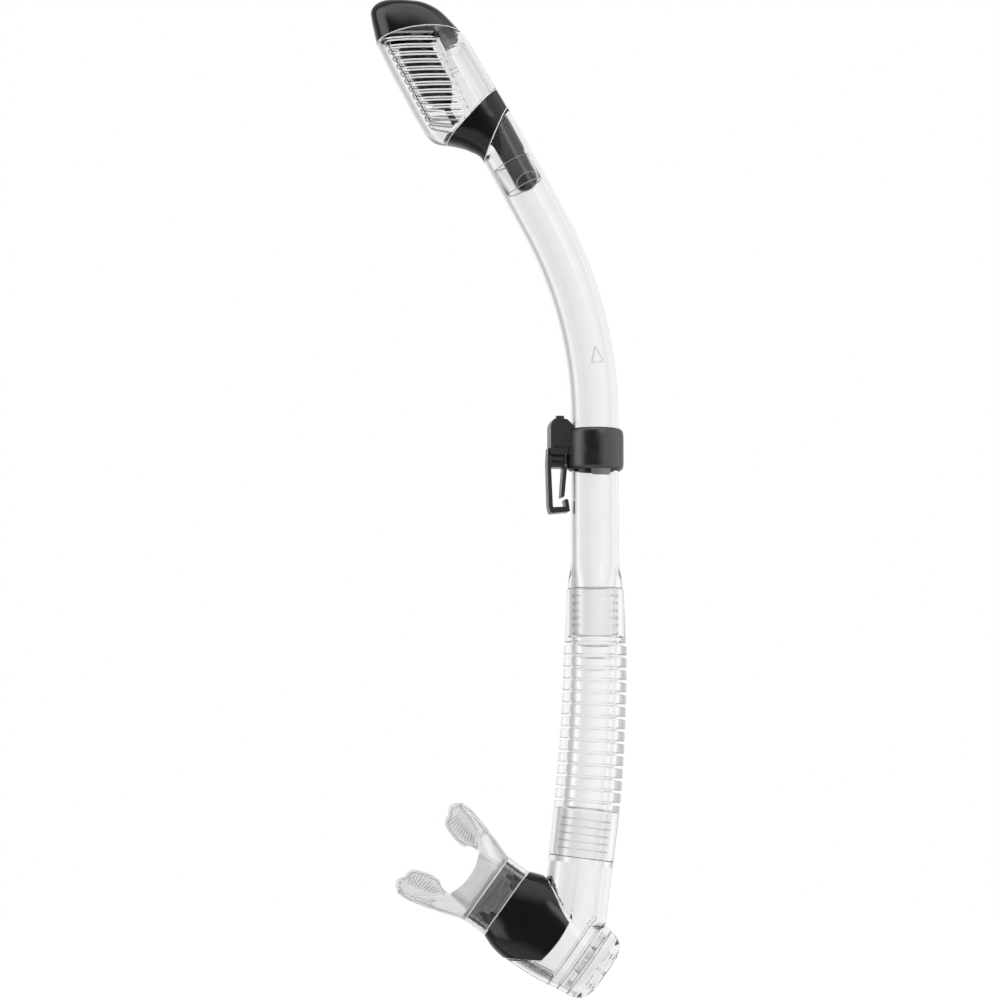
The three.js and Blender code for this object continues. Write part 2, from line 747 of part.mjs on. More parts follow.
// Domed cover with six vent slots and a stop ring behind the disc's travel.
function purgeCover() {
  const top = CHAMBER_END - GAP;
  const outer = [
    [0, PURGE_END],
    [10.5, PURGE_END + 0.3],
    [14.2, PURGE_END + 1.4],
    [16.8, PURGE_END + 3.6],
    [18.2, PURGE_END + 7],
    [18.6, top],
    [16, top],
    [15.8, PURGE_END + 6],
    [13, PURGE_END + 3.4],
    [10, PURGE_END + 2.4],
    [0, PURGE_END + 2.2],
  ];
  let shell = solid(lathe(outer, 24));
  for (let i = 0; i < 3; i++) {
    const slot = box(-12, 12, -1.1, 1.1, PURGE_END - 2, PURGE_END + 5);
    const hub = uprightCylinder(4, 0, 0, PURGE_END - 3, PURGE_END + 6, 12);
    shell = shell.subtract(solid(slot).subtract(solid(hub)).rotate([0, 0, 30 + i * 60]));
  }
  return shell;
}

function mouthEnd() {
  const group = new THREE.Group();
  group.position.set(...MOUTH_ORIGIN);
  group.rotation.y = -MOUTH_TILT;
  group.add(
    part("chamber_body", chamberBody(), clearPlastic()),
    part("cover_front", cover(-1), blackGloss()),
    part("cover_back", cover(1), blackGloss()),
    part("mouth_spigot", mouthSpigot(), smokePlastic()),
    part("mouthpiece", mouthpiece(), clearSilicone()),
    part("purge_seat", purgeSeat(), clearPlastic()),
    part("purge_disc", purgeDisc(), clearSilicone()),
    part("purge_cover", purgeCover(), clearPlastic()),
  );
  return group;
}

// ---------------------------------------------------------------- the whole snorkel
const snorkel = new THREE.Group();
snorkel.add(
  part("main_tube", mainTube(), clearPlastic()),
  part("flex_hose", flexHose(), clearSilicone()),
  head(),
  keeper(),
  mouthEnd(),
);

export default snorkel;
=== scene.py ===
import math

import bmesh
import bpy
import numpy as np
from mathutils import Matrix, Vector


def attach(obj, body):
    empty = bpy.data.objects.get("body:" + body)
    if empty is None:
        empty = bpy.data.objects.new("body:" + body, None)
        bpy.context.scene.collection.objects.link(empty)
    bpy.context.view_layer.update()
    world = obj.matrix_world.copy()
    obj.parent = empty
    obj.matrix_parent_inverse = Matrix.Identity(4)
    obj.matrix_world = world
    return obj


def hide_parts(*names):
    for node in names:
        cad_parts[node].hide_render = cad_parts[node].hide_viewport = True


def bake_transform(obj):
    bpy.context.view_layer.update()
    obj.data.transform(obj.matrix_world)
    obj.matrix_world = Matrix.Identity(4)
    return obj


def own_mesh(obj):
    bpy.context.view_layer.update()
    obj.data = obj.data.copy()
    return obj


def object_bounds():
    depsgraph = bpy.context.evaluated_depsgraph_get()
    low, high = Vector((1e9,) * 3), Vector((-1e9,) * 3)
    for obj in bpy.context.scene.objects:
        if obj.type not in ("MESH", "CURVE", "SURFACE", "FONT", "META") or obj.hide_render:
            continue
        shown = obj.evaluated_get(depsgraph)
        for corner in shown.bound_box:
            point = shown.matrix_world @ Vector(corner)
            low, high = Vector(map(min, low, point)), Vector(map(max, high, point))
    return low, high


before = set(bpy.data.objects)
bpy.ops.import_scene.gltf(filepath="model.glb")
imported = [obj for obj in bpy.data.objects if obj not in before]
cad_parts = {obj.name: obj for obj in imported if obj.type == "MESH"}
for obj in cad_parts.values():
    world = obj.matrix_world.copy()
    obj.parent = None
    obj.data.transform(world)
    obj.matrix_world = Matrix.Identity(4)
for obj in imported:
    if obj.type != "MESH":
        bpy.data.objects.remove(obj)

CAD_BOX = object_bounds()
MM = 0.001
GAP = 0.3

# tube
TUBE_R = 11.7
TUBE_BORE_R = 9.9
BEND_START = 14
BEND_R = 205
HEAD_TILT = math.radians(28.2)
TUBE_BOTTOM = -69.9
SPIGOT_R = 11
SPIGOT_BORE_R = 9.5
SPIGOT_END = TUBE_BOTTOM - 23
FLARE_R = 13.4
BARB_COUNT = 5
BARB_PITCH = 3.6

# hose
HOSE_TOP = -70.2
HOSE_BEND_START = -88
HOSE_BEND_R = 891
HOSE_LEAN = math.radians(7.2)
HOSE_BOTTOM = HOSE_BEND_START - HOSE_BEND_R * HOSE_LEAN - 0.9
HOSE_BORE_R = 10
RIB_COUNT = 13
RIB_PITCH = 5.88
RIB_HEIGHT = 4.6
FIRST_RIB_TOP = -97.8
GROOVE_R = 11.6
TOP_RIB_R = 15.4
RIB_GROWTH = 0.75  # from the top rib to the bottom one
STUB_SPIGOT_R = 12.1

# head, in its own frame
HEAD_WALL = 1.7
HEAD_TOP = 137.5
COLLAR_TOP = (66.5, 0.356)  # height on the axis and slope along x
COLLAR_BOTTOM = (51, 0.79)
ARCH_R, ARCH_X, ARCH_Z = 70.5, -34.2, 48.8  # the seam between cap and shell lies on this cylinder
DUCT_LEFT = -2.2
DUCT_TOP = 97.3
DUCT_WALL = 1.4
DUCT_END, DUCT_END_SLOPE = 23, -0.445
LIP_ENDS = (21, 34.6)
OVAL_DUCT = [(20, 2.3, 6.1, 6.9), (36, 2.3, 6.1, 6.9), (39, 2.7, 6.6, 7.3)]  # height, middle, half widths
SLOT_COUNT = 12
SLOT_PITCH = 3.79
SLOT_HEIGHT = 1.7
TOP_SLOT_HEIGHT = 203.4
SLOT_LEFT, SLOT_RIGHT = -26.4, -4.4
SLOT_NARROWING = 0.3
BAR_R = 0.43
RIM_REACH = 1.25
FLOAT_X = -15.2

# keeper
KEEPER_HEIGHT = 20.2
KEEPER_R = 14.2
RING_DROP = 1.65
KEEPER_TURN = math.radians(8)
CHANNEL_LEFT, CHANNEL_RIGHT, CHANNEL_HALF = -20, -15, 3

# mouth end, in its own frame
MOUTH_ORIGIN = (-52.9, 0, -215.5)
MOUTH_TILT = math.radians(54.4)
STUB_R = 15.7
STUB_BORE_R = 13
STUB_LENGTH = 32
CHAMBER_WALL = 2.6
CHAMBER_FRONT = -12
CHAMBER_END = -60.6
PURGE_END = -70.5
MOUTH_ARC_R, MOUTH_ARC_Z = 24.7, 34.9
PORT_POWER = 2.4  # how square the mouth port's ovals are
TAB_HALF = 2.5


# ------------ curves and profiles
def smooth_curve(xs, ys):
    """A monotone cubic curve through the points, as a function."""
    xs, ys = np.array(xs, float), np.array(ys, float)
    step = np.diff(xs)
    slope = np.diff(ys) / step
    tangent = np.zeros(len(xs))
    tangent[0], tangent[-1] = slope[0], slope[-1]
    for i in range(1, len(xs) - 1):
        if slope[i - 1] * slope[i] > 0:
            a, b = 2 * step[i] + step[i - 1], step[i] + 2 * step[i - 1]
            tangent[i] = (a + b) / (a / slope[i - 1] + b / slope[i])

    def at(x):
        x = min(max(x, xs[0]), xs[-1])
        i = int(np.clip(np.searchsorted(xs, x) - 1, 0, len(step) - 1))
        t = (x - xs[i]) / step[i]
        h = step[i]
        return float(
            (1 + 2 * t) * (1 - t) ** 2 * ys[i]
            + t * (1 - t) ** 2 * h * tangent[i]
            + t * t * (3 - 2 * t) * ys[i + 1]
            + t * t * (t - 1) * h * tangent[i + 1]
        )

    return at


def smoothstep(x, low, high):
    t = min(max((x - low) / (high - low), 0), 1)
    return t * t * (3 - 2 * t)


def turns(count, offset=0):
    """Evenly spaced angles of a full turn."""
    return [2 * math.pi * (k + offset) / count for k in range(count)]


def fillet(points, radius, steps=4, closed=True):
    """Rounds the corners of an outline of (a, b) or (a, b, own radius) points."""
    out = []
    count = len(points)
    for i, point in enumerate(points):
        if not closed and i in (0, count - 1):
            out.append(tuple(point[:2]))
            continue
        own = point[2] if len(point) > 2 else radius
        here = Vector(point[:2])
        before, after = Vector(points[i - 1][:2]) - here, Vector(points[(i + 1) % count][:2]) - here
        reach = min(own, before.length * 0.45, after.length * 0.45)
        if reach < 1e-4:
            out.append(tuple(here))
            continue
        start, end = here + before.normalized() * reach, here + after.normalized() * reach
        for k in range(steps + 1):
            t = k / steps
            out.append(tuple(start * (1 - t) ** 2 + here * (2 * t * (1 - t)) + end * (t * t)))
    return out


def refine(points, longest):
    """A closed outline with its long sides split."""
    out = []
    for i, (a, b) in enumerate(points):
        c, d = points[(i + 1) % len(points)]
        parts = max(1, math.ceil(math.hypot(c - a, d - b) / longest))
        out += [(a + (c - a) * k / parts, b + (d - b) * k / parts) for k in range(parts)]
    return out


def bent(x, y, along):
    """Takes a straight tube's point to the bent one."""
    up, down = along > BEND_START, along < HOSE_BEND_START
    if not up and not down:
        return x, y, along
    start, r, limit = (BEND_START, BEND_R, HEAD_TILT) if up else (HOSE_BEND_START, HOSE_BEND_R, HOSE_LEAN)
    sign = 1 if up else -1
    run = abs(along - start)
    turn = min(run / r, limit)
    rest = run - turn * r
    cx = -r * (1 - math.cos(turn)) - rest * math.sin(turn)
    cz = start + sign * (r * math.sin(turn) + rest * math.cos(turn))
    return cx + x * math.cos(turn), y, cz + sign * x * math.sin(turn)


BEND_TOP = BEND_START + BEND_R * HEAD_TILT
WORLD = Matrix.Scale(MM, 4)
HEAD = WORLD @ Matrix.Translation(bent(0, 0, BEND_TOP)) @ Matrix.Rotation(-HEAD_TILT, 4, "Y")
KEEPER = WORLD @ Matrix.Rotation(KEEPER_TURN, 4, "Z")
MOUTH = WORLD @ Matrix.Translation(MOUTH_ORIGIN) @ Matrix.Rotation(-MOUTH_TILT, 4, "Y")


# ------------ solids
def solid(verts, faces):
    mesh = bpy.data.meshes.new("solid")
    mesh.from_pydata([tuple(v) for v in verts], [], faces)
    bm = bmesh.new()
    bm.from_mesh(mesh)
    bmesh.ops.remove_doubles(bm, verts=bm.verts, dist=1e-4)
    bmesh.ops.recalc_face_normals(bm, faces=bm.faces)
    bm.to_mesh(mesh)
    bm.free()
    obj = bpy.data.objects.new("solid", mesh)
    bpy.context.scene.collection.objects.link(obj)
    return obj


def skin(rings, closed=False):
    """Joins rings of equal length by quads. An open stack gets a face at each end."""
    n = len(rings[0])
    verts = [p for ring in rings for p in ring]
    faces = []
    for i in range(len(rings) if closed else len(rings) - 1):
        a, b = i * n, (i + 1) % len(rings) * n
        faces += [(a + k, a + (k + 1) % n, b + (k + 1) % n, b + k) for k in range(n)]
    if not closed:
        faces.append(tuple(range(n - 1, -1, -1)))
        faces.append(tuple(range((len(rings) - 1) * n, len(rings) * n)))
    return solid(verts, faces)


def circle(r, z, segments=96):
    return [(r * math.cos(a), r * math.sin(a), z) for a in turns(segments)]


def revolve(profile, segments=96, bend=None):
    """A closed profile of (radius, height) turned round Z."""
    rings = [circle(r, h, segments) for r, h in profile]
    if bend:
        rings = [[bend(*point) for point in ring] for ring in rings]
    return skin(rings, closed=True)


def turned(profile, segments=96):
    """A profile that starts and ends on the axis, turned round Z."""
    return skin([circle(max(r, 0.01), h, segments) for r, h in profile])


def oval(angle, half_x, half_y, power):
    c, s = math.cos(angle), math.sin(angle)
    return (
        math.copysign(abs(c) ** (2 / power), c) * half_x,
        math.copysign(abs(s) ** (2 / power), s) * half_y,
    )


def oval_loop(size, z, segments=112):
    """size is centre, half width, half depth and power."""
    centre, half_x, half_y, power = size
    points = [oval(angle, half_x, half_y, power) for angle in turns(segments, 0.5)]
    return [(centre + x, y, z) for x, y in points]


def oval_depth(x, size):
    """How far an oval reaches along y at x."""
    centre, half_x, half_y, power = size
    return half_y * (1 - min(abs(x - centre) / half_x, 1) ** power) ** (1 / power)


def loft(heights, section, segments=96):
    return skin([oval_loop(section(z), z, segments) for z in heights])


def oval_bar(low, high, half_x, half_y, power=PORT_POWER, segments=112):
    return loft([low, high], lambda z: (0, half_x, half_y, power), segments)


def row_section(rows, power=None):
    """A section function from rows of (z, half width, half depth[, power])."""
    z = [row[0] for row in rows]
    half_x = smooth_curve(z, [row[1] for row in rows])
    half_y = smooth_curve(z, [row[2] for row in rows])
    powers = smooth_curve(z, [row[3] if len(row) > 3 else power for row in rows])
    return lambda at, grow=0, centre=0: (centre, half_x(at) + grow, half_y(at) + grow, powers(at))


def spaced(low, high, step):
    count = max(1, math.ceil((high - low) / step))
    return [low + (high - low) * i / count for i in range(count + 1)]


def plate(outline, y0, y1):
    """An outline of (x, z) points with its thickness along y."""
    return skin([[(x, y, z) for x, z in outline] for y in (y0, y1)])


def block(x0, x1, y0, y1, z0, z1):
    return plate([(x0, z0), (x1, z0), (x1, z1), (x0, z1)], y0, y1)


def rod(r, start, end, segments=64):
    start, end = Vector(start), Vector(end)
    turn = (end - start).to_track_quat("Z", "Y")
    return skin([[p + turn @ Vector(point) for point in circle(r, 0, segments)] for p in (start, end)])


def bead(points, r, taper=True, segments=8):
    """A thin rounded rib along a line of points."""
    points = [Vector(p) for p in points]
    rings = []
    for i, p in enumerate(points):
        along = points[min(i + 1, len(points) - 1)] - points[max(i - 1, 0)]
        turn = along.to_track_quat("Z", "Y")
        size = r * (0.3 if taper and i in (0, len(points) - 1) else 1)
        rings.append([p + turn @ Vector(point) for point in circle(size, 0, segments)])
    return skin(rings)


def hoop(points, r, normal, segments=8):
    """A thin rounded wire round a closed loop of points, whose plane has about this normal."""
    points = [Vector(p) for p in points]
    rings = []
    for i, p in enumerate(points):
        along = (points[(i + 1) % len(points)] - points[i - 1]).normalized()
        side = Vector(normal).cross(along).normalized()
        up = along.cross(side)
        rings.append([p + up * x + side * y for x, y, _ in circle(r, 0, segments)])
    return skin(rings, closed=True)


def bake(obj):
    graph = bpy.context.evaluated_depsgraph_get()
    mesh = bpy.data.meshes.new_from_object(obj.evaluated_get(graph))
    obj.modifiers.clear()
    obj.data = mesh
    return obj


def combine(target, tools, operation):
    for tool in tools:
        change = target.modifiers.new("boolean", "BOOLEAN")
        change.solver = "MANIFOLD"
        change.operation = operation
        change.object = tool
    bake(target)
    for tool in tools:
        bpy.data.objects.remove(tool)
    return target


def cut(target, *tools):
    return combine(target, tools, "DIFFERENCE")


def join(target, *tools):
    return combine(target, tools, "UNION")


def common(target, *tools):
    return combine(target, tools, "INTERSECT")


def copy_of(obj):
    twin = obj.copy()
    twin.data = obj.data.copy()
    bpy.context.scene.collection.objects.link(twin)
    return twin


def gather(objects):
    """Several separate solids as one object."""
    verts, faces = [], []
    for obj in objects:
        start = len(verts)
        verts += [v.co.copy() for v in obj.data.vertices]
        faces += [tuple(start + i for i in p.vertices) for p in obj.data.polygons]
        bpy.data.objects.remove(obj)
    return solid(verts, faces)


def place(obj, name, matrix, body, slot, replaces=(), bevel=0, sharp=32, finish=None):
    """Finishes a solid as a named piece: rounded edges, metres, material, and the body it rides."""
    if bevel:
        weld = obj.modifiers.new("weld", "WELD")
        weld.merge_threshold = 0.005
        rounding = obj.modifiers.new("bevel", "BEVEL")
        rounding.width = bevel
        rounding.segments = 3
        rounding.limit_method = "ANGLE"
        rounding.angle_limit = math.radians(36)
        bake(obj)
    obj.data.transform(matrix)
    obj.name = name
    obj.data.name = name
    obj.data.materials.clear()
    obj.data.materials.append(LOOKS[finish or slot])
    obj.data.shade_smooth()
    obj.data.set_sharp_from_angle(angle=math.radians(sharp))
    if bevel:
        even = obj.modifiers.new("even", "WEIGHTED_NORMAL")
        even.keep_sharp = True
    if replaces:
        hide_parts(*replaces)
    if body:
        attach(obj, body)
    return obj


# ------------ materials
def noise(nodes, links, scale, detail=3):
    coordinates = nodes.new("ShaderNodeTexCoord")
    texture = nodes.new("ShaderNodeTexNoise")
    texture.inputs["Scale"].default_value = scale
    texture.inputs["Detail"].default_value = detail
    links.new(coordinates.outputs["Object"], texture.inputs["Vector"])
    return texture.outputs["Fac"]


def map_range(nodes, links, source, *ends, style="LINEAR"):
    """ends are the lowest and highest value that come in, and what each turns into."""
    node = nodes.new("ShaderNodeMapRange")
    node.interpolation_type = style
    links.new(source, node.inputs["Value"])
    for socket, end in zip(("From Min", "From Max", "To Min", "To Max"), ends):
        node.inputs[socket].default_value = end
    return node.outputs["Result"]


NOISE_SPAN = (0.3, 0.7)  # where most of a noise texture's values lie


def look(name, tones, roughness, cloud, grain, depth, transmission, ior, others):
    """tones and roughness are the ends of a slow change with cloud features to the metre.
    grain and depth are the fine bump's features to the metre and its height in metres."""
    material = bpy.data.materials.new(name)
    material.use_nodes = True
    nodes, links = material.node_tree.nodes, material.node_tree.links
    shader = nodes["Principled BSDF"]
    slow = noise(nodes, links, cloud)
    links.new(map_range(nodes, links, slow, *NOISE_SPAN, *roughness), shader.inputs["Roughness"])
    mix = nodes.new("ShaderNodeMix")
    mix.data_type = "RGBA"
    colours = [socket for socket in mix.inputs if socket.type == "RGBA"]
    for socket, tone in zip(colours, tones):
        socket.default_value = (tone, tone, tone, 1)
    links.new(map_range(nodes, links, slow, *NOISE_SPAN, 0, 1), mix.inputs["Factor"])
    result = next(socket for socket in mix.outputs if socket.type == "RGBA")
    links.new(result, shader.inputs["Base Color"])
    bump = nodes.new("ShaderNodeBump")
    bump.inputs["Strength"].default_value = 1
    bump.inputs["Distance"].default_value = depth
    links.new(noise(nodes, links, grain, 2), bump.inputs["Height"])
    links.new(bump.outputs["Normal"], shader.inputs["Normal"])
    for socket, value in {"Transmission Weight": transmission, "IOR": ior, **others}.items():
        shader.inputs[socket].default_value = value
    return material


# Two ends of the grey tone, two of the roughness, cloud, grain, bump depth, transmission, IOR, other sockets.
LOOK_ROWS = {
    "clear_plastic": (
        (0.94, 0.96), (0.015, 0.05), 90, 60, 0.00001, 1, 1.48, {"Specular Tint": (0.4, 0.4, 0.4, 1)},
    ),
    "clear_silicone": (
        (0.965, 0.98), (0.06, 0.11), 140, 300, 0.00001, 1, 1.25, {"Specular Tint": (0.5, 0.5, 0.5, 1)},
    ),
    "milky_silicone": ((0.86, 0.9), (0.16, 0.24), 140, 500, 0.00002, 0.8, 1.39, {}),
    # a whiter, less clear plastic that paints highlights: thin clear bars and edge wires in it read as white
    # highlight lines
    "painted_highlight_white": ((0.96, 0.98), (0.06, 0.1), 140, 300, 0.00001, 0.45, 1.55, {}),
    "tongue_grey": ((0.15, 0.18), (0.2, 0.3), 140, 300, 0.00001, 0.3, 1.45, {}),
    "duct_smoke": ((0.04, 0.055), (0.14, 0.2), 40, 40, 0.0000005, 0.1, 1.45, {}),
    "black_deep": ((0.006, 0.009), (0.08, 0.13), 70, 120, 0.000006, 0, 1.5, {"Specular IOR Level": 0.2}),
    "black_gloss": ((0.007, 0.01), (0.07, 0.13), 70, 120, 0.000006, 0, 1.5, {"Specular IOR Level": 0.33}),
    "black_satin": ((0.007, 0.011), (0.28, 0.36), 200, 2600, 0.000012, 0, 1.5, {}),
    "smoke_plastic": ((0.34, 0.38), (0.05, 0.1), 90, 80, 0.00001, 1, 1.45, {}),
    "grey_rubber": ((0.06, 0.08), (0.36, 0.46), 160, 1800, 0.00001, 0, 1.45, {}),
    "steel": ((0.55, 0.65), (0.2, 0.3), 300, 2200, 0.000004, 0, 1.5, {"Metallic": 1}),
}
LOOKS = {name: look(name, *row) for name, row in LOOK_ROWS.items()}


# ------------ breathing tube
def tube_wall():
    top = BEND_TOP + COLLAR_BOTTOM[0] - GAP / 2
    slant_zone = 24  # the top end turns from level to the collar's slant over this height
    outside = [
        (SPIGOT_BORE_R, SPIGOT_END, 0.4),
        (SPIGOT_R, SPIGOT_END, 0.5),
    ]
    for barb in range(BARB_COUNT):  # fine rings that grip the hose's cuff
        z = SPIGOT_END + 4.5 + BARB_PITCH * barb
        outside += [(SPIGOT_R, z, 0.1), (SPIGOT_R + 0.22, z + 0.5, 0.1), (SPIGOT_R, z + 0.9, 0.1)]
    outside += [
        (SPIGOT_R, TUBE_BOTTOM, 0.2),
        (FLARE_R, TUBE_BOTTOM, 0.4),
        (FLARE_R - 0.1, TUBE_BOTTOM + 4, 3),
        (TUBE_R + 0.3, TUBE_BOTTOM + 9.5, 3),
        (TUBE_R, TUBE_BOTTOM + 14, 3),
        (TUBE_R, top, 0.5),
    ]
    inside = [
        (TUBE_BORE_R, top, 0.5),
        (TUBE_BORE_R, TUBE_BOTTOM + 6, 2),
        (SPIGOT_BORE_R, TUBE_BOTTOM, 2),
    ]

    def shaped(x, y, h):
        share = min(max((h - top + slant_zone) / slant_zone, 0), 1)
        return bent(x, y, h + COLLAR_BOTTOM[1] * x * share)

    wall = revolve(refine(fillet(outside + inside, 0.3), 3.2), 128, shaped)
    place(wall, "tube_wall", WORLD, "tube_and_head", "clear_plastic", ["main_tube"])


def tube_mark():
    """A plain raised triangle on the tube's front, which lines the tube up with the mask."""
    middle, low, high, half = 2.8, 40.2, 48, 2.9
    corners = [(middle, high), (middle - half, low), (middle + half, low), (middle, high)]
    sides = []
    for (x0, z0), (x1, z1) in zip(corners, corners[1:]):
        line = []
        for k in range(9):
            x, z = x0 + (x1 - x0) * k / 8, z0 + (z1 - z0) * k / 8
            line.append(bent(x, -math.sqrt(TUBE_R**2 - x * x), z))
        sides.append(bead(line, 0.34))
    place(gather(sides), "tube_mark", WORLD, "tube_and_head", "clear_plastic")


# ------------ ribbed hose
def ribbed_hose():
    outside = [
        (SPIGOT_R + GAP, HOSE_TOP, 0.3),
        (13.9, HOSE_TOP, 0.5),
        (15, FIRST_RIB_TOP + 1.6, 0.7),
        (GROOVE_R, FIRST_RIB_TOP + 1.4, 0.5),
    ]
    for i in range(RIB_COUNT):
        top = FIRST_RIB_TOP - i * RIB_PITCH
        r = TOP_RIB_R + RIB_GROWTH * i / (RIB_COUNT - 1)
        low = top - RIB_HEIGHT
        outside += [(GROOVE_R, top, 0.45), (r, top, 0.9), (r, low, 0.9), (GROOVE_R, low, 0.45)]
    cuff_top = FIRST_RIB_TOP - RIB_COUNT * RIB_PITCH
    outside += [
        (GROOVE_R, cuff_top, 0.5),
        (16.05, cuff_top, 0.9),
        (15.75, HOSE_BOTTOM, 0.5),
        (STUB_SPIGOT_R + 2 * GAP, HOSE_BOTTOM, 0.3),
        (STUB_SPIGOT_R + 2 * GAP, HOSE_BOTTOM + 23.2, 0.4),
        (HOSE_BORE_R, HOSE_BOTTOM + 24, 0.4),
        (HOSE_BORE_R, SPIGOT_END - 1, 0.3),
        (SPIGOT_R + GAP, SPIGOT_END - 0.4, 0.3),
    ]
    hose = revolve(refine(fillet(outside, 0.3, steps=3), 2.4), 96, bent)
    place(hose, "hose_ribbed", WORLD, None, "clear_silicone", ["flex_hose"])
    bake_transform(hose)


# ------------ head
HEAD_ROWS = [  # height, left, right, half depth
    (36, -11.7, 11.7, 11.7),
    (44, -12, 11.7, 11.8),
    (50.5, -15.8, 11.6, 12.6),
    (57.5, -23, 11.4, 13.9),
    (61, -27.9, 11.2, 14.4),
    (65.5, -30.4, 11.1, 14.8),
    (70, -31.2, 10.9, 15),
    (100, -31.4, 9.6, 15),
    (110, -31.2, 7.5, 14.7),
    (118, -30.8, 5.2, 13.7),
    (125.5, -29, 0.6, 11.8),
    (131.5, -27.2, -6.9, 8.9),
    (135.5, -25.2, -13.6, 5.2),
    (HEAD_TOP, -20.2, -20, 0.1),
]
HEAD_Z = [row[0] for row in HEAD_ROWS]
head_centre = smooth_curve(HEAD_Z, [(row[1] + row[2]) / 2 for row in HEAD_ROWS])
head_half_x2 = smooth_curve(HEAD_Z, [((row[2] - row[1]) / 2) ** 2 for row in HEAD_ROWS])
head_half_y2 = smooth_curve(HEAD_Z, [row[3] ** 2 for row in HEAD_ROWS])


def head_section(z, inset=0):
    power = 2 + 0.6 * smoothstep(z, 44, 66)
    half_x = max(math.sqrt(head_half_x2(z)) - inset, 0.05)
    half_y = max(math.sqrt(head_half_y2(z)) - inset, 0.05)
    return head_centre(z), half_x, half_y, power


def head_point(angle, z, inset=0):
    centre, half_x, half_y, power = head_section(z, inset)
    x, y = oval(angle, half_x, half_y, power)
    return centre + x, y, z


def where(condition, angle, low=38, high=HEAD_TOP - 0.05):
    """The height at which condition(x, z) turns positive on the head's outer form."""
    for _ in range(40):
        middle = (low + high) / 2
        if condition(head_point(angle, middle)[0], middle) > 0:
            high = middle
        else:
            low = middle
    return low


def above_plane(plane, shift):
    return lambda x, z: z - plane[0] - plane[1] * x - shift


def above_arch(shift):
    return lambda x, z: math.hypot(x - ARCH_X, z - ARCH_Z) - ARCH_R - shift


HEAD_ANGLES = turns(144, 0.5)


def head_wall(low, high, wall, start=0, levels=36, rim=0.3):
    """A wall that follows the head's form between two limits, with rounded rims."""
    lows = [where(low, angle) for angle in HEAD_ANGLES]
    highs = [where(high, angle) for angle in HEAD_ANGLES]
    rise = [(0, 0, rim), (0, rim * 0.3, rim * 0.3), (0, rim, 0)]
    rise += [(i / levels, 0, 0) for i in range(1, levels)]
    rise += [(1, -rim, 0), (1, -rim * 0.3, rim * 0.3), (1, 0, rim)]
    fall = [(share, shift, wall - inset) for share, shift, inset in reversed(rise)]
    rings = []
    for share, shift, inset in rise + fall:
        rings.append([
            head_point(angle, low_z + share * (high_z - low_z) + shift, start + inset)
            for angle, low_z, high_z in zip(HEAD_ANGLES, lows, highs)
        ])
    return skin(rings, closed=True)


def head_form(inset, low, high):
    return loft(spaced(low, high, 2), lambda z: head_section(z, inset))


def top_cap():
    lows = [where(above_arch(GAP / 2), angle) for angle in HEAD_ANGLES]
    rim, levels = 0.35, 44

    def bowl(top, wall):
        rings = []
        for i in range(levels + 1):
            share = math.sin(math.pi / 2 * i / levels)
            rings.append([
                head_point(angle, low + rim + share * (top - low - rim), wall)
                for angle, low in zip(HEAD_ANGLES, lows)
            ])
        return rings

    edge = [
        [head_point(angle, low, inset) for angle, low in zip(HEAD_ANGLES, lows)]
        for inset in (rim, HEAD_WALL - rim)
    ]
    rings = bowl(HEAD_TOP, 0)[::-1] + edge + bowl(HEAD_TOP - HEAD_WALL, HEAD_WALL)
    place(skin(rings), "cap_dome", HEAD, "tube_and_head", "black_gloss", ["top_cap"])
    skirt = head_wall(above_arch(-2.4), above_arch(0.6), 1.1, start=HEAD_WALL + GAP, levels=6)
    skirt = common(skirt, block(-24, DUCT_LEFT - 0.6, -30, 30, 80, 140))
    place(skirt, "cap_skirt", HEAD, "tube_and_head", "black_satin")


def slot_line(index, shift=0):
    """The two ends of a louvre slot's middle line, as (x, z). Slots are level in the world."""
    base = bent(0, 0, BEND_TOP)[2]
    right = SLOT_RIGHT - SLOT_NARROWING * index
    middle = (SLOT_LEFT + SLOT_RIGHT) / 2
    lift = TOP_SLOT_HEIGHT - index * SLOT_PITCH - base + shift
    along = (lift - middle * math.sin(HEAD_TILT)) / math.cos(HEAD_TILT)
    fall = math.tan(HEAD_TILT)
    return [(x, along - (x - middle) * fall) for x in (SLOT_LEFT, right)]


def wall_depth(x, z, inset):
    return oval_depth(x, head_section(z, inset))


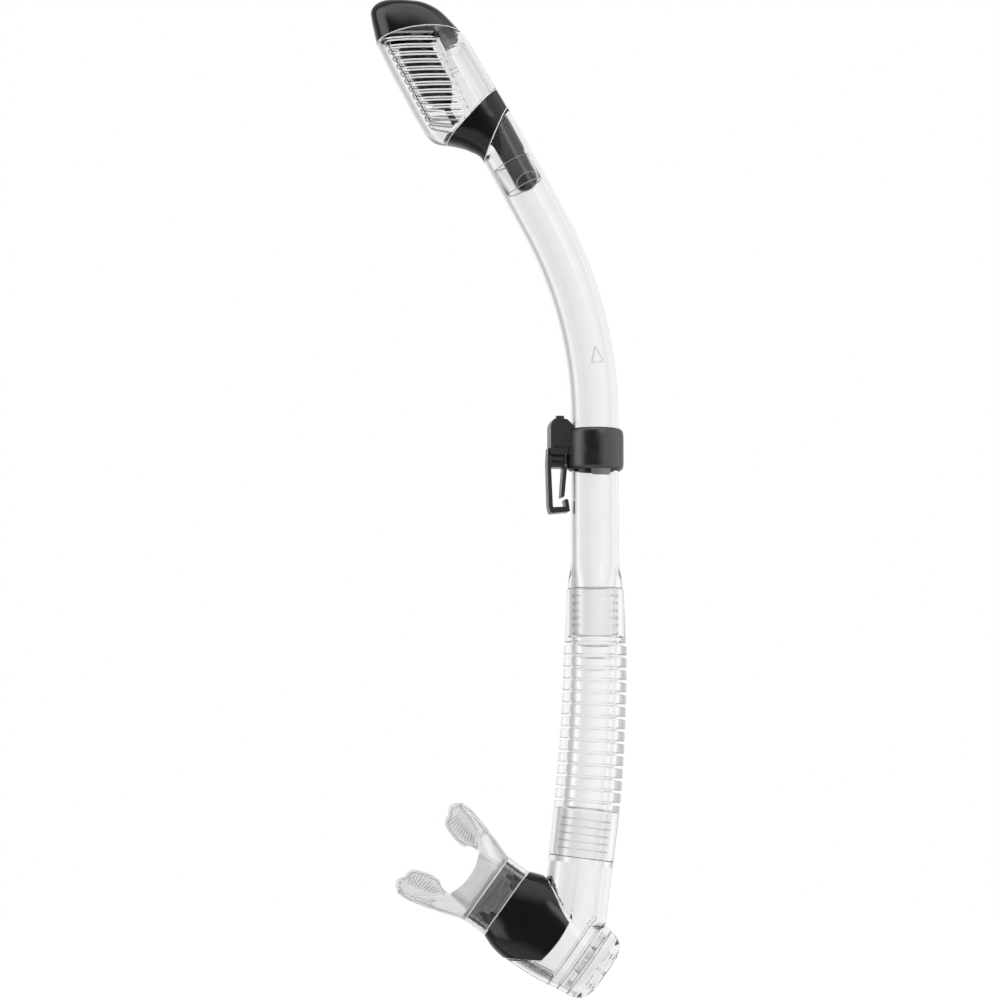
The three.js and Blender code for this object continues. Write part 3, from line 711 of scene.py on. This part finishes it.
def head_shell():
    """A clear wall with a window on each side, crossed by round louvre bars."""
    shell = head_wall(above_plane(COLLAR_TOP, GAP / 2), above_arch(-GAP / 2), HEAD_WALL)
    high, low = slot_line(0, SLOT_HEIGHT / 2), slot_line(SLOT_COUNT - 1, -SLOT_HEIGHT / 2)
    cut(shell, plate(fillet([high[0], high[1], low[1], low[0]], 0.8), -20, 20))
    place(shell, "shell_louvred", HEAD, "tube_and_head", "clear_plastic", ["head_shell"])
    level = Vector((math.cos(HEAD_TILT), -math.sin(HEAD_TILT)))
    up = Vector((math.sin(HEAD_TILT), math.cos(HEAD_TILT)))
    shares = [k / 18 for k in range(19)]
    round_end = [math.pi * k / 8 for k in range(1, 8)]
    bars = []
    for side in (-1, 1):  # each slot has a rounded rim, which is open to the right
        for index in range(SLOT_COUNT):
            left, right = (Vector(end) for end in slot_line(index))
            flat = [left.lerp(right, 1 - share) + up * RIM_REACH for share in shares]
            flat += [left + (up * math.cos(a) - level * math.sin(a)) * RIM_REACH for a in round_end]
            flat += [left.lerp(right, share) - up * RIM_REACH for share in shares]
            line = [
                (x, side * wall_depth(x, z, HEAD_WALL / 2), z)
                for x, z in flat
                if z > COLLAR_TOP[0] + COLLAR_TOP[1] * x + 1.2
            ]
            bars.append(bead(line, BAR_R, segments=14))
    # the louvre bars are clear plastic; their whiter finish paints the white highlight bands on them
    place(gather(bars), "louvre_bars", HEAD, "tube_and_head", "clear_plastic", finish="painted_highlight_white")
    beads = []
    frame_x = -25.4
    for side in (-1, 1):  # the frame that edges the louvres inside the shell
        line = [(frame_x, side * wall_depth(frame_x, z, HEAD_WALL + 0.25), z) for z in spaced(69, 116, 3)]
        beads.append(bead(line, 0.35))
    place(gather(beads), "louvre_frame", HEAD, "tube_and_head", "clear_plastic")


def head_collar():
    band = head_wall(
        above_plane(COLLAR_BOTTOM, GAP / 2), above_plane(COLLAR_TOP, -GAP / 2), HEAD_WALL + 0.3, rim=0.4
    )
    place(band, "collar_band", HEAD, "tube_and_head", "black_gloss", ["head_collar"], finish="black_deep")


def duct_room(inset, low, high):
    room = head_form(HEAD_WALL + GAP + inset, 56, 130)
    left = DUCT_LEFT + inset
    floor = [(x, low + COLLAR_TOP[1] * x) for x in (left, 20)]
    return common(room, plate([*floor, (20, high), (left, high)], -25, 25))


def duct():
    body = duct_room(0, COLLAR_TOP[0] + GAP, DUCT_TOP)
    corners = ((-40, GAP), (20, GAP), (20, 2.4), (-40, 2.4))
    floor = plate([(x, COLLAR_TOP[0] + COLLAR_TOP[1] * x + h) for x, h in corners], -25, 25)
    body = join(body, common(head_form(HEAD_WALL + GAP, 46, 90), floor))
    ears = []
    pin_x, pin_z = -4, 113.8  # the rocker turns on a pin through two ears
    for side in (-1, 1):
        near, far = sorted((side * 4.2, side * 5.8))
        ears.append(block(pin_x - 1.4, pin_x + 1.4, near, far, DUCT_TOP - 8, pin_z + 2))
        ears.append(block(pin_x, DUCT_LEFT + 1, near, far, DUCT_TOP - 8.1, DUCT_TOP - 0.1))
    body = join(body, *ears)
    pin_hole = rod(1.2, (pin_x, -12, pin_z), (pin_x, 12, pin_z), 24)
    body = cut(body, duct_room(DUCT_WALL, 40, 128), pin_hole)
    place(body, "duct_clear", HEAD, "tube_and_head", "clear_plastic", ["air_duct"])
    below = block(-60, 60, -60, 60, 60, DUCT_TOP + GAP)
    seat = cut(duct_room(0, 60, DUCT_TOP + 1.3), duct_room(DUCT_WALL, 80, 130), below)
    place(seat, "seat_ring", HEAD, "tube_and_head", "clear_silicone", ["seal_seat"], bevel=0.2)


def seal():
    plug = common(duct_room(1.2, 60, 108.6), block(-40, 40, -40, 40, 102, 112))
    plug = join(plug, block(1.6, 3.4, -2, 2, 107, 110.2))
    place(plug, "plug_rubber", HEAD, "seal", "grey_rubber", ["seal_plug"], bevel=0.5)


def oval_spigot():
    """The dark duct that leads from the head down into the tube, and a whitish ring round its end, which is a
    painted highlight.
    """
    rim, power, segments = 0.3, 2.1, 112
    top = COLLAR_TOP[0] - 3
    rows = [*OVAL_DUCT, (top, *OVAL_DUCT[-1][1:])]
    heights = [row[0] for row in rows]
    middle, half_x, half_y = (smooth_curve(heights, [row[k] for row in rows]) for k in (1, 2, 3))

    def ring(share, shift, inset):
        points = []
        for angle in turns(segments):
            _, y = oval(angle, half_x(DUCT_END), half_y(DUCT_END), power)
            end = DUCT_END + DUCT_END_SLOPE * y + shift
            z = end + share * (top - end)
            x, y = oval(angle, half_x(z) - inset, half_y(z) - inset, power)
            points.append((middle(z) + x, y, z))
        return points

    levels = [i / 24 for i in range(25)]
    rings = [ring(share, rim, 0) for share in levels]
    rings += [ring(share, rim, DUCT_WALL) for share in reversed(levels)]
    rings += [ring(0, rim * 0.3, DUCT_WALL - rim * 0.3), ring(0, 0, DUCT_WALL - rim)]
    rings += [ring(0, 0, rim), ring(0, rim * 0.3, rim * 0.3)]
    dark = skin(rings, closed=True)
    place(dark, "spigot_smoke", HEAD, "tube_and_head", "smoke_plastic", ["duct_spigot"], finish="duct_smoke")
    # painted highlight: a white wire round the duct's end
    edge = hoop(ring(0, 0, 0.4), 0.32, (0, 0.4, 1))
    place(edge, "spigot_rim", HEAD, "tube_and_head", "clear_plastic", finish="painted_highlight_white")
    low, high = LIP_ENDS
    lip = revolve(fillet([(8.95, low), (9.6, low), (9.6, high), (8.95, high)], 0.25), 96)
    place(lip, "lip_clear", HEAD, "tube_and_head", "clear_plastic", ["spigot_lip"])
    # painted highlight: white wires at both ends of the lip
    edges = [hoop(circle(9.25, z), 0.26, (0, 0, 1)) for z in LIP_ENDS]
    place(gather(edges), "lip_edges", HEAD, "tube_and_head", "clear_plastic", finish="painted_highlight_white")


def seam_painted_lines():
    """Thin pale wires in the seams between cap, shell, collar and tube, which are painted highlights, and a
    dark wire at the tube's joint with the hose, which is a painted shadow.
    """
    seams = (above_arch(0), above_plane(COLLAR_TOP, 0), above_plane(COLLAR_BOTTOM, 0))
    wires = []
    for seam, normal in zip(seams, ((0, 0, 1), (-0.35, 0, 1), (-0.7, 0, 1))):
        line = [head_point(angle, where(seam, angle), 0.12) for angle in HEAD_ANGLES]
        wires.append(hoop(line, 0.24, normal))
    # painted highlights: pale wires along the seams
    place(gather(wires), "seam_painted_lines", HEAD, "tube_and_head", "clear_plastic", finish="painted_highlight_white")
    # painted shadow: a dark wire at the joint of tube and hose, standing for the shade in the gap
    hose_shadow_gap_wire = hoop(circle(FLARE_R - 0.25, HOSE_TOP + GAP / 2), 0.16, (0, 0, 1))
    place(hose_shadow_gap_wire, "hose_shadow_gap_wire", WORLD, "tube_and_head", "smoke_plastic")


def valve_float():
    rows = [
        (74.5, 1.6, 1.8), (75.4, 3.2, 3.4), (79, 5.6, 6.6), (86, 8.2, 8.8),
        (108, 8.2, 8.8), (111.4, 7.2, 7.8), (112, 6.4, 7),
    ]
    section = row_section(rows, 2.6)
    body = loft(spaced(rows[0][0], rows[-1][0], 0.6), lambda z: section(z, 0, FLOAT_X), 72)
    body = join(body, block(-15.6, -13.4, -2, 2, 111, 115.3))
    body = cut(body, rod(2, (FLOAT_X, 0, 70), (FLOAT_X, 0, 94), 32))
    place(body, "float_body", HEAD, "float", "grey_rubber", ["float"], finish="black_satin")


# ------------ keeper and strap clip
def keeper_ring():
    half = KEEPER_HEIGHT / 2
    lower_keeper = KEEPER @ Matrix.Translation((0, 0, -RING_DROP))
    inner, lip = TUBE_R + GAP + 1.1, TUBE_R + GAP + 0.2
    upper = [
        (inner, 0), (inner, half - 2.4, 0.2), (lip, half - 1.8, 0.2), (lip, half, 0.5), (12.9, half, 0.9),
        (13.9, half - 1.1, 1.3), (KEEPER_R, half - 3.2, 2), (KEEPER_R, 0),
    ]
    lower = [(corner[0], -corner[1], *corner[2:]) for corner in reversed(upper[1:-1])]
    ring = refine(fillet(upper + lower, 0.1, steps=8), 3)
    place(revolve(ring, 128), "ring_satin", lower_keeper, "keeper", "black_satin", ["keeper_ring"])
    reach = half - 2.6
    liner = [(TUBE_R + GAP, -reach), (inner - 0.2, -reach), (inner - 0.2, reach), (TUBE_R + GAP, reach)]
    liner = revolve(fillet(liner, 0.25), 96)
    place(liner, "liner_grip", lower_keeper, "keeper_slider", "grey_rubber", ["keeper_liner"])
    bottom = -half  # of the ring; the tongue hangs below it
    near, far = lip - 0.1, lip + 0.6
    sleeve = [(near, bottom - 3.4), (far, bottom - 3.4), (far, bottom + 1), (near, bottom + 1)]
    outline = [(-3.6, bottom - 3.2, 1), (5.6, bottom - 3.2, 1), (5.9, bottom + 0.4), (-3.9, bottom + 0.4)]
    tongue = common(revolve(fillet(sleeve, 0.2), 96), plate(fillet(outline, 0.1), -20, -2))
    place(tongue, "liner_tongue", lower_keeper, "keeper_slider", "smoke_plastic", finish="tongue_grey")


def clip():
    outline = [
        (-22.7, -4.5), (-22.7, 10.2, 1.2), (-21.2, 12.9, 0.8), (-14.6, 12.9, 0.8), (-11, 9.4, 2), (-11, -4.5),
    ]
    housing = plate(fillet(outline, 0.2, steps=3), -6, 6)
    housing = cut(
        housing,
        rod(KEEPER_R - 0.3, (0, 0, -20), (0, 0, KEEPER_HEIGHT / 2 - RING_DROP - 0.6), 128),
        rod(TUBE_R + 1.2, (0, 0, 3), (0, 0, 20), 128),
        block(CHANNEL_LEFT, CHANNEL_RIGHT, -CHANNEL_HALF, CHANNEL_HALF, -20, 20),
        block(-21.4, -13.6, -7, -4.9, -5, -0.6),
    )
    place(housing, "clip_case", KEEPER, "keeper", "black_satin", ["clip_housing"], bevel=0.4)

    loop = [
        (-23.7, -1.2), (-24.1, -8.2, 1), (-23.5, -30, 1), (-22.6, -33.4, 0.8), (-12.9, -32.4, 0.8),
        (-13.9, -26.3, 0.6), (-15.8, -26.5, 0.4), (-15.1, -30, 0.5), (-21.4, -30.4, 0.5), (-22.3, -10.8, 0.4),
        (-14.7, -10.8, 0.3), (-14.7, -4.8, 0.6), (-22.9, -4.8, 0.2), (-23, -1.2, 0.2),
    ]
    hook = plate(fillet(loop, 0.4, steps=3), -4.2, 4.2)
    stem = block(CHANNEL_LEFT + GAP, CHANNEL_RIGHT - GAP, -2.7, 2.7, -6, 8)
    notch, grip = block(-16.7, -14, -5, 5, -12, -9.4), block(-21.9, -15.6, -5, -3.2, -10, -1.4)
    hook = cut(join(hook, stem), notch, grip)
    place(hook, "hook_loop", KEEPER, "hook", "black_satin", ["strap_hook"], bevel=0.35)
    steps = []
    for i in range(6):
        low = -9.8 + 1.4 * i
        steps.append(block(-21.7, -15.8, -3.18 - 0.4 * (i % 2), -2.9, low, low + 1.2))
    place(gather(steps), "hook_grip", KEEPER, "hook", "black_gloss", bevel=0.12)

    tongue = [(-16.4, -9.7), (-14.8, -9.7), (-14.4, -11.4), (-15.7, -25.2), (-17.4, -25.5), (-16.4, -12)]
    gate = plate(fillet(tongue, 0.4, steps=3), -4, 4)
    place(gate, "gate_tongue", KEEPER, "gate", "black_satin", ["strap_gate"], bevel=0.3)

    left, right = CHANNEL_LEFT + GAP, CHANNEL_RIGHT - GAP
    step = block(left + 0.4, right - 0.2, -2.2, 2.2, 13, 14.9)
    button = join(block(left, right, -2.7, 2.7, 10.6, 13.2), step)
    place(button, "button_cap", KEEPER, "button", "black_satin", ["release_button"], bevel=0.35)


def button_spring():
    """The wire coil that pushes the button up."""
    coils, wire, coil_r, low, high = 3.5, 0.22, 1.5, 8.6, 10.1
    centre = (CHANNEL_LEFT + CHANNEL_RIGHT) / 2
    steps = 84
    line = []
    for i in range(steps + 1):
        a = 2 * math.pi * coils * i / steps
        line.append((centre + coil_r * math.cos(a), coil_r * math.sin(a), low + (high - low) * i / steps))
    spring = place(bead(line, wire), "spring_coil", KEEPER, "keeper", "steel", ["button_spring"])
    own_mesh(spring)


# ------------ mouth end
CHAMBER_ROWS = [  # height, half width, half depth, power
    (CHAMBER_END, 18.7, 18.6, 2),
    (-56, 19.2, 18.6, 2),
    (-50, 20.3, 18.5, 2.1),
    (-42, 21.4, 18.2, 2.2),
    (-34, 21.9, 17.8, 2.3),
    (-26, 22, 17.2, 2.4),
    (-19, 21.1, 15.8, 2.4),
    (CHAMBER_FRONT, 18.6, 13.4, 2.4),
]
chamber_section = row_section(CHAMBER_ROWS)


def chamber_form(grow, reach=0):
    heights = spaced(CHAMBER_END, CHAMBER_FRONT, 1.6)
    if reach:
        heights = [CHAMBER_END - reach, *heights, CHAMBER_FRONT + reach]
    return loft(heights, lambda z: chamber_section(z, grow), 112)


def cover_prism(extra, y0, y1):
    """The covers' six-sided outline with a bowed end, grown by extra."""
    end = -41 - extra
    half = [
        (19.6 + extra, -8 + extra), (19.6 + extra, -12, 0.5), (23.6 + extra, -23.4, 1.2),
        (12.6 + extra * 0.8, end, 0.8), (6.2, end - 1.05),
    ]
    other = [(-corner[0], *corner[1:]) for corner in reversed(half)]
    return plate(fillet([*half, (0, end - 1.4), *other], 3, steps=4), y0, y1)


STUB_TOP = Vector(bent(0, 0, HOSE_BOTTOM))
STUB_DOWN = Vector((-math.sin(HOSE_LEAN), 0, -math.cos(HOSE_LEAN)))
STUB_ACROSS = Vector((math.cos(HOSE_LEAN), 0, -math.sin(HOSE_LEAN)))
TO_MOUTH = (WORLD.inverted() @ MOUTH).inverted()


def stub_rod(r, start, end, segments=96):
    """A cylinder down the hose stub's axis, in the mouth's frame."""
    ends = [TO_MOUTH @ (STUB_TOP + STUB_DOWN * run) for run in (start, end)]
    return rod(r, *ends, segments)


def stub_hoop(r, run, wire):
    centre = STUB_TOP + STUB_DOWN * run
    loop = [TO_MOUTH @ (centre + STUB_ACROSS * x + Vector((0, y, 0))) for x, y, _ in circle(r, 0)]
    return hoop(loop, wire, TO_MOUTH.to_3x3() @ STUB_DOWN)


def chamber():
    body = join(chamber_form(0), stub_rod(STUB_R, GAP, STUB_LENGTH), stub_rod(STUB_SPIGOT_R, -22.6, 3))
    recess = cut(cover_prism(GAP, -40, 40), chamber_form(-1.5, 5), stub_rod(STUB_R + 1, -30, STUB_LENGTH))
    bores = [stub_rod(STUB_BORE_R, 3, STUB_LENGTH + 1), stub_rod(10.3, -30, 4)]
    body = cut(body, recess, chamber_form(-CHAMBER_WALL, 5), *bores)
    place(body, "chamber_clear", MOUTH, "mouth_end", "clear_plastic", ["chamber_body"])
    barbs = [stub_hoop(STUB_SPIGOT_R + 0.05, -4 - BARB_PITCH * i, 0.24) for i in range(BARB_COUNT)]
    place(gather(barbs), "stub_barbs", MOUTH, "mouth_end", "clear_plastic")
    # painted shadow: a dark wire at the joint of hose and chamber, standing for the shade in the gap
    place(stub_hoop(STUB_R - 0.15, GAP / 2, 0.18), "stub_shadow_gap_wire", MOUTH, "mouth_end", "smoke_plastic")
    rims = []
    for z, inset in ((-50.5, 0.05), (-55.4, 0.05), (CHAMBER_END - GAP / 2, 0.3)):
        loop = oval_loop(chamber_section(max(z, CHAMBER_END), -inset), z)
        rims.append(hoop(loop, 0.3, (0, 0, 1)))
    place(gather(rims), "chamber_rims", MOUTH, "mouth_end", "clear_plastic")
    # the thicker side wall below the covers, lying on the inside of the chamber
    edge = [(-17.3, -26), (-16.8, -32), (-16, -38), (-15.1, -44), (-14.5, -48), (-14.3, -50)]
    wall = cut(chamber_form(-CHAMBER_WALL - 0.04), chamber_form(-CHAMBER_WALL - 1.4, 5))
    wall = common(wall, plate([*edge, (-40, -50), (-40, -26)], -40, 40))
    place(wall, "chamber_side_wall", MOUTH, "mouth_end", "clear_plastic", finish="milky_silicone")
    lines = []
    for side in (-1, 1):
        line = [(x, side * oval_depth(x, chamber_section(z, -CHAMBER_WALL - 1.5)), z) for x, z in edge]
        lines.append(bead(line, 0.2))
    place(gather(lines), "chamber_side_line", MOUTH, "mouth_end", "smoke_plastic")


def covers():
    for name, side in (("front", -1), ("back", 1)):
        near, far = sorted((side * GAP / 2, side * 40))
        around_stub = stub_rod(STUB_R + 1 + GAP, -30, STUB_LENGTH + GAP)
        cover = cut(chamber_form(0.35), chamber_form(-1.2, 5), around_stub)
        cover = common(cover, cover_prism(0, near, far))
        place(
            cover, f"cover_{name}_gloss", MOUTH, "mouth_end", "black_gloss", [f"cover_{name}"], bevel=0.45,
            finish="black_deep",
        )


def smoke_spigot():
    front = CHAMBER_FRONT + GAP
    plug, barb, neck = (15.5, 10.3), (16.9, 11.1), (16.6, 10.8)  # half widths and half depths
    rows = [(front - 6, *plug), (front - 0.1, *plug), (front, *barb)]
    for z in (-9.2, -6.2, -3.2):
        rows += [(z, *barb), (z + 0.2, *neck)]
    rows += [(-0.2, *barb), (1.6, 16.7, 10.9), (2, 16.3, 10.5)]
    outside = loft([row[0] for row in rows], row_section(rows, PORT_POWER), 112)
    bore = oval_bar(front - 8, 4, 14, 8.9)
    place(cut(outside, bore), "spigot_oval", MOUTH, "mouth_end", "smoke_plastic", ["mouth_spigot"])
    outline = [
        (6.5, -10.8), (13.6, -10.8), (13.6, -6.2), (11.8, -6.6),
        (11.2, -3.6), (9.4, -4.2), (9.2, -7.6), (7, -8),
    ]
    pads = []
    for end in (-1, 1):  # dark stepped pads inside the spigot, at both ends of its front
        liner = cut(oval_bar(front - 4, 2, 13.9, 8.8), oval_bar(front - 5, 3, 13.2, 8.1))
        pads.append(common(liner, plate([(end * x, z) for x, z in outline], -20, -0.5)))
    place(gather(pads), "spigot_pads", MOUTH, "mouth_end", "black_satin", finish="duct_smoke")


TAB = [  # a bite tab's outline, as (x, z)
    (13, 13.4), (10.4, 18.5), (9.8, 22.5), (10.1, 26), (11.5, 30.8), (13, 34.4), (15, 35.7), (18.6, 36),
    (20.4, 37.6), (22.4, 38), (25, 36.6), (26.8, 33.5), (25.4, 25), (23.2, 17.5), (19, 12),
]


def bite_ribs(side, face):
    """Short ribs that fan out across one face of a bite tab, and the bead that rings them."""
    y = face * TAB_HALF
    ribs = []
    for i in range(11):
        z = 17.5 + 1.68 * i
        lean = 0.5 - 0.085 * i
        inner = 12.6 + 0.07 * (z - 24) ** 2 / 4
        outer = 17.4 + 0.2 * (z - 18)
        line = [(side * (inner + (outer - inner) * k / 6), y, z + lean * k) for k in range(7)]
        ribs.append(bead(line, 0.27))
    middle_x, middle_z = 18.2, 25
    smaller = [(middle_x + (x - middle_x) * 0.84, middle_z + (z - middle_z) * 0.86) for x, z in TAB]
    outline = fillet([(side * x, z) for x, z in smaller], 2)
    ribs.append(bead([(x, y, z) for x, z in outline[:-4]], 0.3))
    return ribs


def mouthpiece():
    rows = [
        (CHAMBER_FRONT + GAP * 2, 18.5, 12.7, 2.4), (0, 18.6, 12.8, 2.4), (5, 20, 12.4, 2.8),
        (11.5, 22.2, 11.8, 3.6), (18, 24.2, 11.2, 4), (24.5, 25.9, 10.4, 4),
        (30, 27, 8.6, 4), (33.5, 27, 6, 4),
    ]
    section = row_section(rows)
    form = loft(spaced(rows[0][0], rows[-1][0], 0.8), section, 112)
    arc = rod(MOUTH_ARC_R, (0, -30, MOUTH_ARC_Z), (0, 30, MOUTH_ARC_Z), 128)
    form = cut(form, arc)
    tabs = [plate(fillet([(side * x, z) for x, z in TAB], 2), -TAB_HALF, TAB_HALF) for side in (-1, 1)]
    form = join(form, *tabs)
    form = cut(form, oval_bar(-20, 2.4, 17.2, 11.4), oval_bar(0, 20, 12.5, 8, 2.2, 96))
    sleeve = common(copy_of(form), block(-40, 40, -40, 40, -20, -0.1))
    place(sleeve, "mouth_sleeve", MOUTH, "mouth_end", "clear_silicone", bevel=0.3)
    form = common(form, block(-60, 60, -40, 40, 0, 60))
    remesh = form.modifiers.new("remesh", "REMESH")
    remesh.mode = "VOXEL"
    remesh.voxel_size = 0.5
    soften = form.modifiers.new("soften", "SMOOTH")
    soften.factor = 0.5
    soften.iterations = 3
    bake(form)
    place(
        form, "mouthpiece_soft", MOUTH, "mouth_end", "clear_silicone", ["mouthpiece"], sharp=80,
        finish="milky_silicone",
    )
    ends = (rows[0][0], -0.05)
    # painted highlight: white wires at both ends of the sleeve
    edges = [hoop(oval_loop(section(z, -0.05), z), 0.27, (0, 0, 1)) for z in ends]
    place(gather(edges), "sleeve_edges", MOUTH, "mouth_end", "clear_silicone", finish="painted_highlight_white")
    ribs = []
    for side in (-1, 1):
        for face in (-1, 1):
            ribs += bite_ribs(side, face)
            arm = []
            for z in spaced(3, 27, 1.5):  # a ridge up the flange's arm
                size = section(z)
                x = 0.93 * size[1]
                arm.append((side * x, face * oval_depth(x, size), z))
            ribs.append(bead(arm, 0.35))
    place(gather(ribs), "bite_ribs", MOUTH, "mouth_end", "clear_silicone", finish="milky_silicone")


def purge():
    low, high = CHAMBER_END + 1.4, CHAMBER_END + 3.4
    seat = revolve(fillet([(13.2, low), (15.7, low), (15.7, high), (13.2, high)], 0.25), 96)
    hub = rod(3, (0, 0, low), (0, 0, high), 48)
    spokes = []
    for i in range(3):
        bar = block(-14, 14, -0.8, 0.8, low + 0.01, high - 0.01)
        bar.data.transform(Matrix.Rotation(math.pi * i / 3, 4, "Z"))
        spokes.append(bar)
    seat = join(seat, hub, *spokes)
    place(seat, "purge_seat_clear", MOUTH, "mouth_end", "clear_plastic", ["purge_seat"])
    under, over = low - 1.2, low - 0.3
    disc = turned(fillet([(0, under), (14.4, under), (14.4, over), (0, over)], 0.3, closed=False), 96)
    place(disc, "purge_flap", MOUTH, "purge_valve", "clear_silicone", ["purge_disc"])
    depth = CHAMBER_END - GAP - PURGE_END
    cup = [  # radius, height above the cover's end, own rounding
        (0, 0), (10.5, 0.3, 1), (14.2, 1.4, 1.5), (16.8, 3.6, 1.5), (18.2, 7, 1.5), (18.6, depth, 0.3),
        (16, depth, 0.3), (15.8, 6, 1), (13, 3.4, 1), (10, 2.4, 1), (0, 2.2),
    ]
    cup = [(r, PURGE_END + height, *rounding) for r, height, *rounding in cup]
    shell = turned(fillet(cup, 0.5, closed=False), 112)
    vents = []
    for i in range(3):
        core = rod(4, (0, 0, PURGE_END - 3), (0, 0, PURGE_END + 6), 48)
        slot = cut(block(-12, 12, -1.1, 1.1, PURGE_END - 2, PURGE_END + 5), core)
        slot.data.transform(Matrix.Rotation(math.radians(30 + 60 * i), 4, "Z"))
        vents.append(slot)
    shell = cut(shell, *vents)
    place(shell, "purge_cover_clear", MOUTH, "mouth_end", "clear_plastic", ["purge_cover"])


# ------------ small CAD nodes that stay as they are
def keep_nodes():
    kept = {"rocker_arm": "black_satin", "rocker_pin": "steel", "float_guide": "grey_rubber"}
    for node, slot in kept.items():
        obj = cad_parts[node]
        obj.data.materials.clear()
        obj.data.materials.append(LOOKS[slot])


# ------------ studio
def studio():
    scene = bpy.context.scene
    world = bpy.data.worlds.new("studio")
    scene.world = world
    world.use_nodes = True
    nodes, links = world.node_tree.nodes, world.node_tree.links
    background = nodes["Background"]
    background.inputs["Color"].default_value = (1, 1, 1, 1)

    def math_node(operation, a, b=None):
        node = nodes.new("ShaderNodeMath")
        node.operation = operation
        for socket, value in zip(node.inputs, (a, b)):
            if value is None:
                continue
            if isinstance(value, (int, float)):
                socket.default_value = value
            else:
                links.new(value, socket)
        return node.outputs[0]

    def ramp(value, *ends):
        return map_range(nodes, links, value, *ends, style="SMOOTHSTEP")

    direction = nodes.new("ShaderNodeTexCoord")
    split = nodes.new("ShaderNodeSeparateXYZ")
    links.new(direction.outputs["Generated"], split.inputs[0])
    x, y, z = split.outputs
    around = math_node("ARCTAN2", x, math_node("MULTIPLY", y, -1))  # 0 at -Y, growing towards +X

    def band(value, low, high, soft):
        rise = ramp(value, low - soft, low + soft, 0, 1)
        return math_node("MULTIPLY", rise, ramp(value, high - soft, high + soft, 1, 0))

    def softbox(left, right, bottom, top, strength, soft):
        sides = band(around, math.radians(left), math.radians(right), soft)
        return math_node("MULTIPLY", math_node("MULTIPLY", sides, band(z, bottom, top, soft)), strength)

    room = math_node("ADD", ramp(y, *FRONT_TO_SIDE), ramp(y, *SIDE_TO_BACK))
    for patch in SOFTBOXES:
        room = math_node("MAXIMUM", room, softbox(*patch))
    # what is seen through clear parts: bright at front and back, greyer at the sides, in faint bands
    bands = math_node("SINE", math_node("MULTIPLY", around, BANDS_ROUND))
    bands = math_node("ADD", math_node("MULTIPLY", bands, BAND_DEPTH), BAND_LEVEL)
    beyond = math_node("MULTIPLY", ramp(math_node("ABSOLUTE", y), *THROUGH), bands)
    behind = ramp(math_node("ABSOLUTE", around), *CENTRE_BAND)
    beyond = math_node("MULTIPLY", beyond, behind)
    for patch in FLAGS:
        beyond = math_node("MULTIPLY", beyond, math_node("SUBTRACT", 1, softbox(*patch)))
    ray = nodes.new("ShaderNodeLightPath")
    through = ray.outputs["Is Transmission Ray"]
    room = math_node("MULTIPLY", room, math_node("SUBTRACT", 1, through))
    room = math_node("ADD", room, math_node("MULTIPLY", beyond, through))
    room = math_node("MAXIMUM", room, ray.outputs["Is Camera Ray"])
    links.new(room, background.inputs["Strength"])

    floor_mesh = bpy.data.meshes.new("floor")
    half, level = 6, CAD_BOX[0].z - 0.08  # metres
    corners = [(-half, -half, level), (half, -half, level), (half, half, level), (-half, half, level)]
    floor_mesh.from_pydata(corners, [], [(0, 1, 2, 3)])
    floor = bpy.data.objects.new("floor", floor_mesh)
    scene.collection.objects.link(floor)
    pale = bpy.data.materials.new("pale_floor")
    pale.use_nodes = True
    surface = pale.node_tree.nodes["Principled BSDF"].inputs
    surface["Base Color"].default_value = (0.1, 0.1, 0.1, 1)
    surface["Roughness"].default_value = 1
    surface["Specular IOR Level"].default_value = 0
    surface["Emission Color"].default_value = (1, 1, 1, 1)
    surface["Emission Strength"].default_value = 0.96
    floor_mesh.materials.append(pale)
    floor.visible_glossy = False
    floor.visible_transmission = False
    floor.visible_diffuse = False


# The world's light by direction: dark at -Y, grey at the sides, white at +Y. Ramps run over the
# direction's y. Boxes are left and right in degrees round Z, lowest and highest z, strength and softness.
FRONT_TO_SIDE = (-0.3, 0.15, 0.05, 0.42)
SIDE_TO_BACK = (0.3, 0.93, 0, 0.58)
THROUGH = (0, 0.92, 0.5, 1)
BANDS_ROUND, BAND_DEPTH, BAND_LEVEL = 23, 0.08, 0.97
CENTRE_BAND = (math.pi - 0.2, math.pi - 0.05, 1.02, 0.91)  # over the angle round Z
SOFTBOXES = [
    (-88, -50, -0.45, 0.9, 3.4, 0.14),
    (20, 36, 0.3, 0.66, 6, 0.12),
    (26, 122, -0.8, 0.9, 2.0, 0.3),
    (-80, 80, 0.62, 1.3, 2.6, 0.2),
    (-110, 110, -1.3, -0.5, 1.5, 0.2),
]
FLAGS = [(-160, -98, -0.9, 0.9, 0.42, 0.15)]  # darker patches of what is seen through clear parts
LOOK_AT = (-46.5, 0, -26.2)
CAMERA_DISTANCE = 1650
CAMERA_PITCH = math.radians(6)
LENS = 121.2
BOUNCES = 32  # enough to pass through every wall of the clear parts


def camera():
    data = bpy.data.cameras.new("camera")
    data.lens = LENS
    data.sensor_width = 36
    data.clip_end = 50
    obj = bpy.data.objects.new("camera", data)
    bpy.context.scene.collection.objects.link(obj)
    look = Vector((0, math.cos(CAMERA_PITCH), math.sin(CAMERA_PITCH)))
    obj.location = (Vector(LOOK_AT) - look * CAMERA_DISTANCE) * MM
    obj.rotation_euler = look.to_track_quat("-Z", "Y").to_euler()
    bpy.context.scene.camera = obj


def colour():
    scene = bpy.context.scene
    scene.view_settings.view_transform = "Standard"
    scene.cycles.max_bounces = BOUNCES
    scene.cycles.transmission_bounces = BOUNCES
    scene.cycles.transparent_max_bounces = BOUNCES


camera()
tube_wall()
tube_mark()
ribbed_hose()
top_cap()
head_shell()
head_collar()
duct()
seal()
oval_spigot()
seam_painted_lines()
valve_float()
keeper_ring()
clip()
button_spring()
chamber()
covers()
smoke_spigot()
mouthpiece()
purge()
keep_nodes()
studio()
colour()
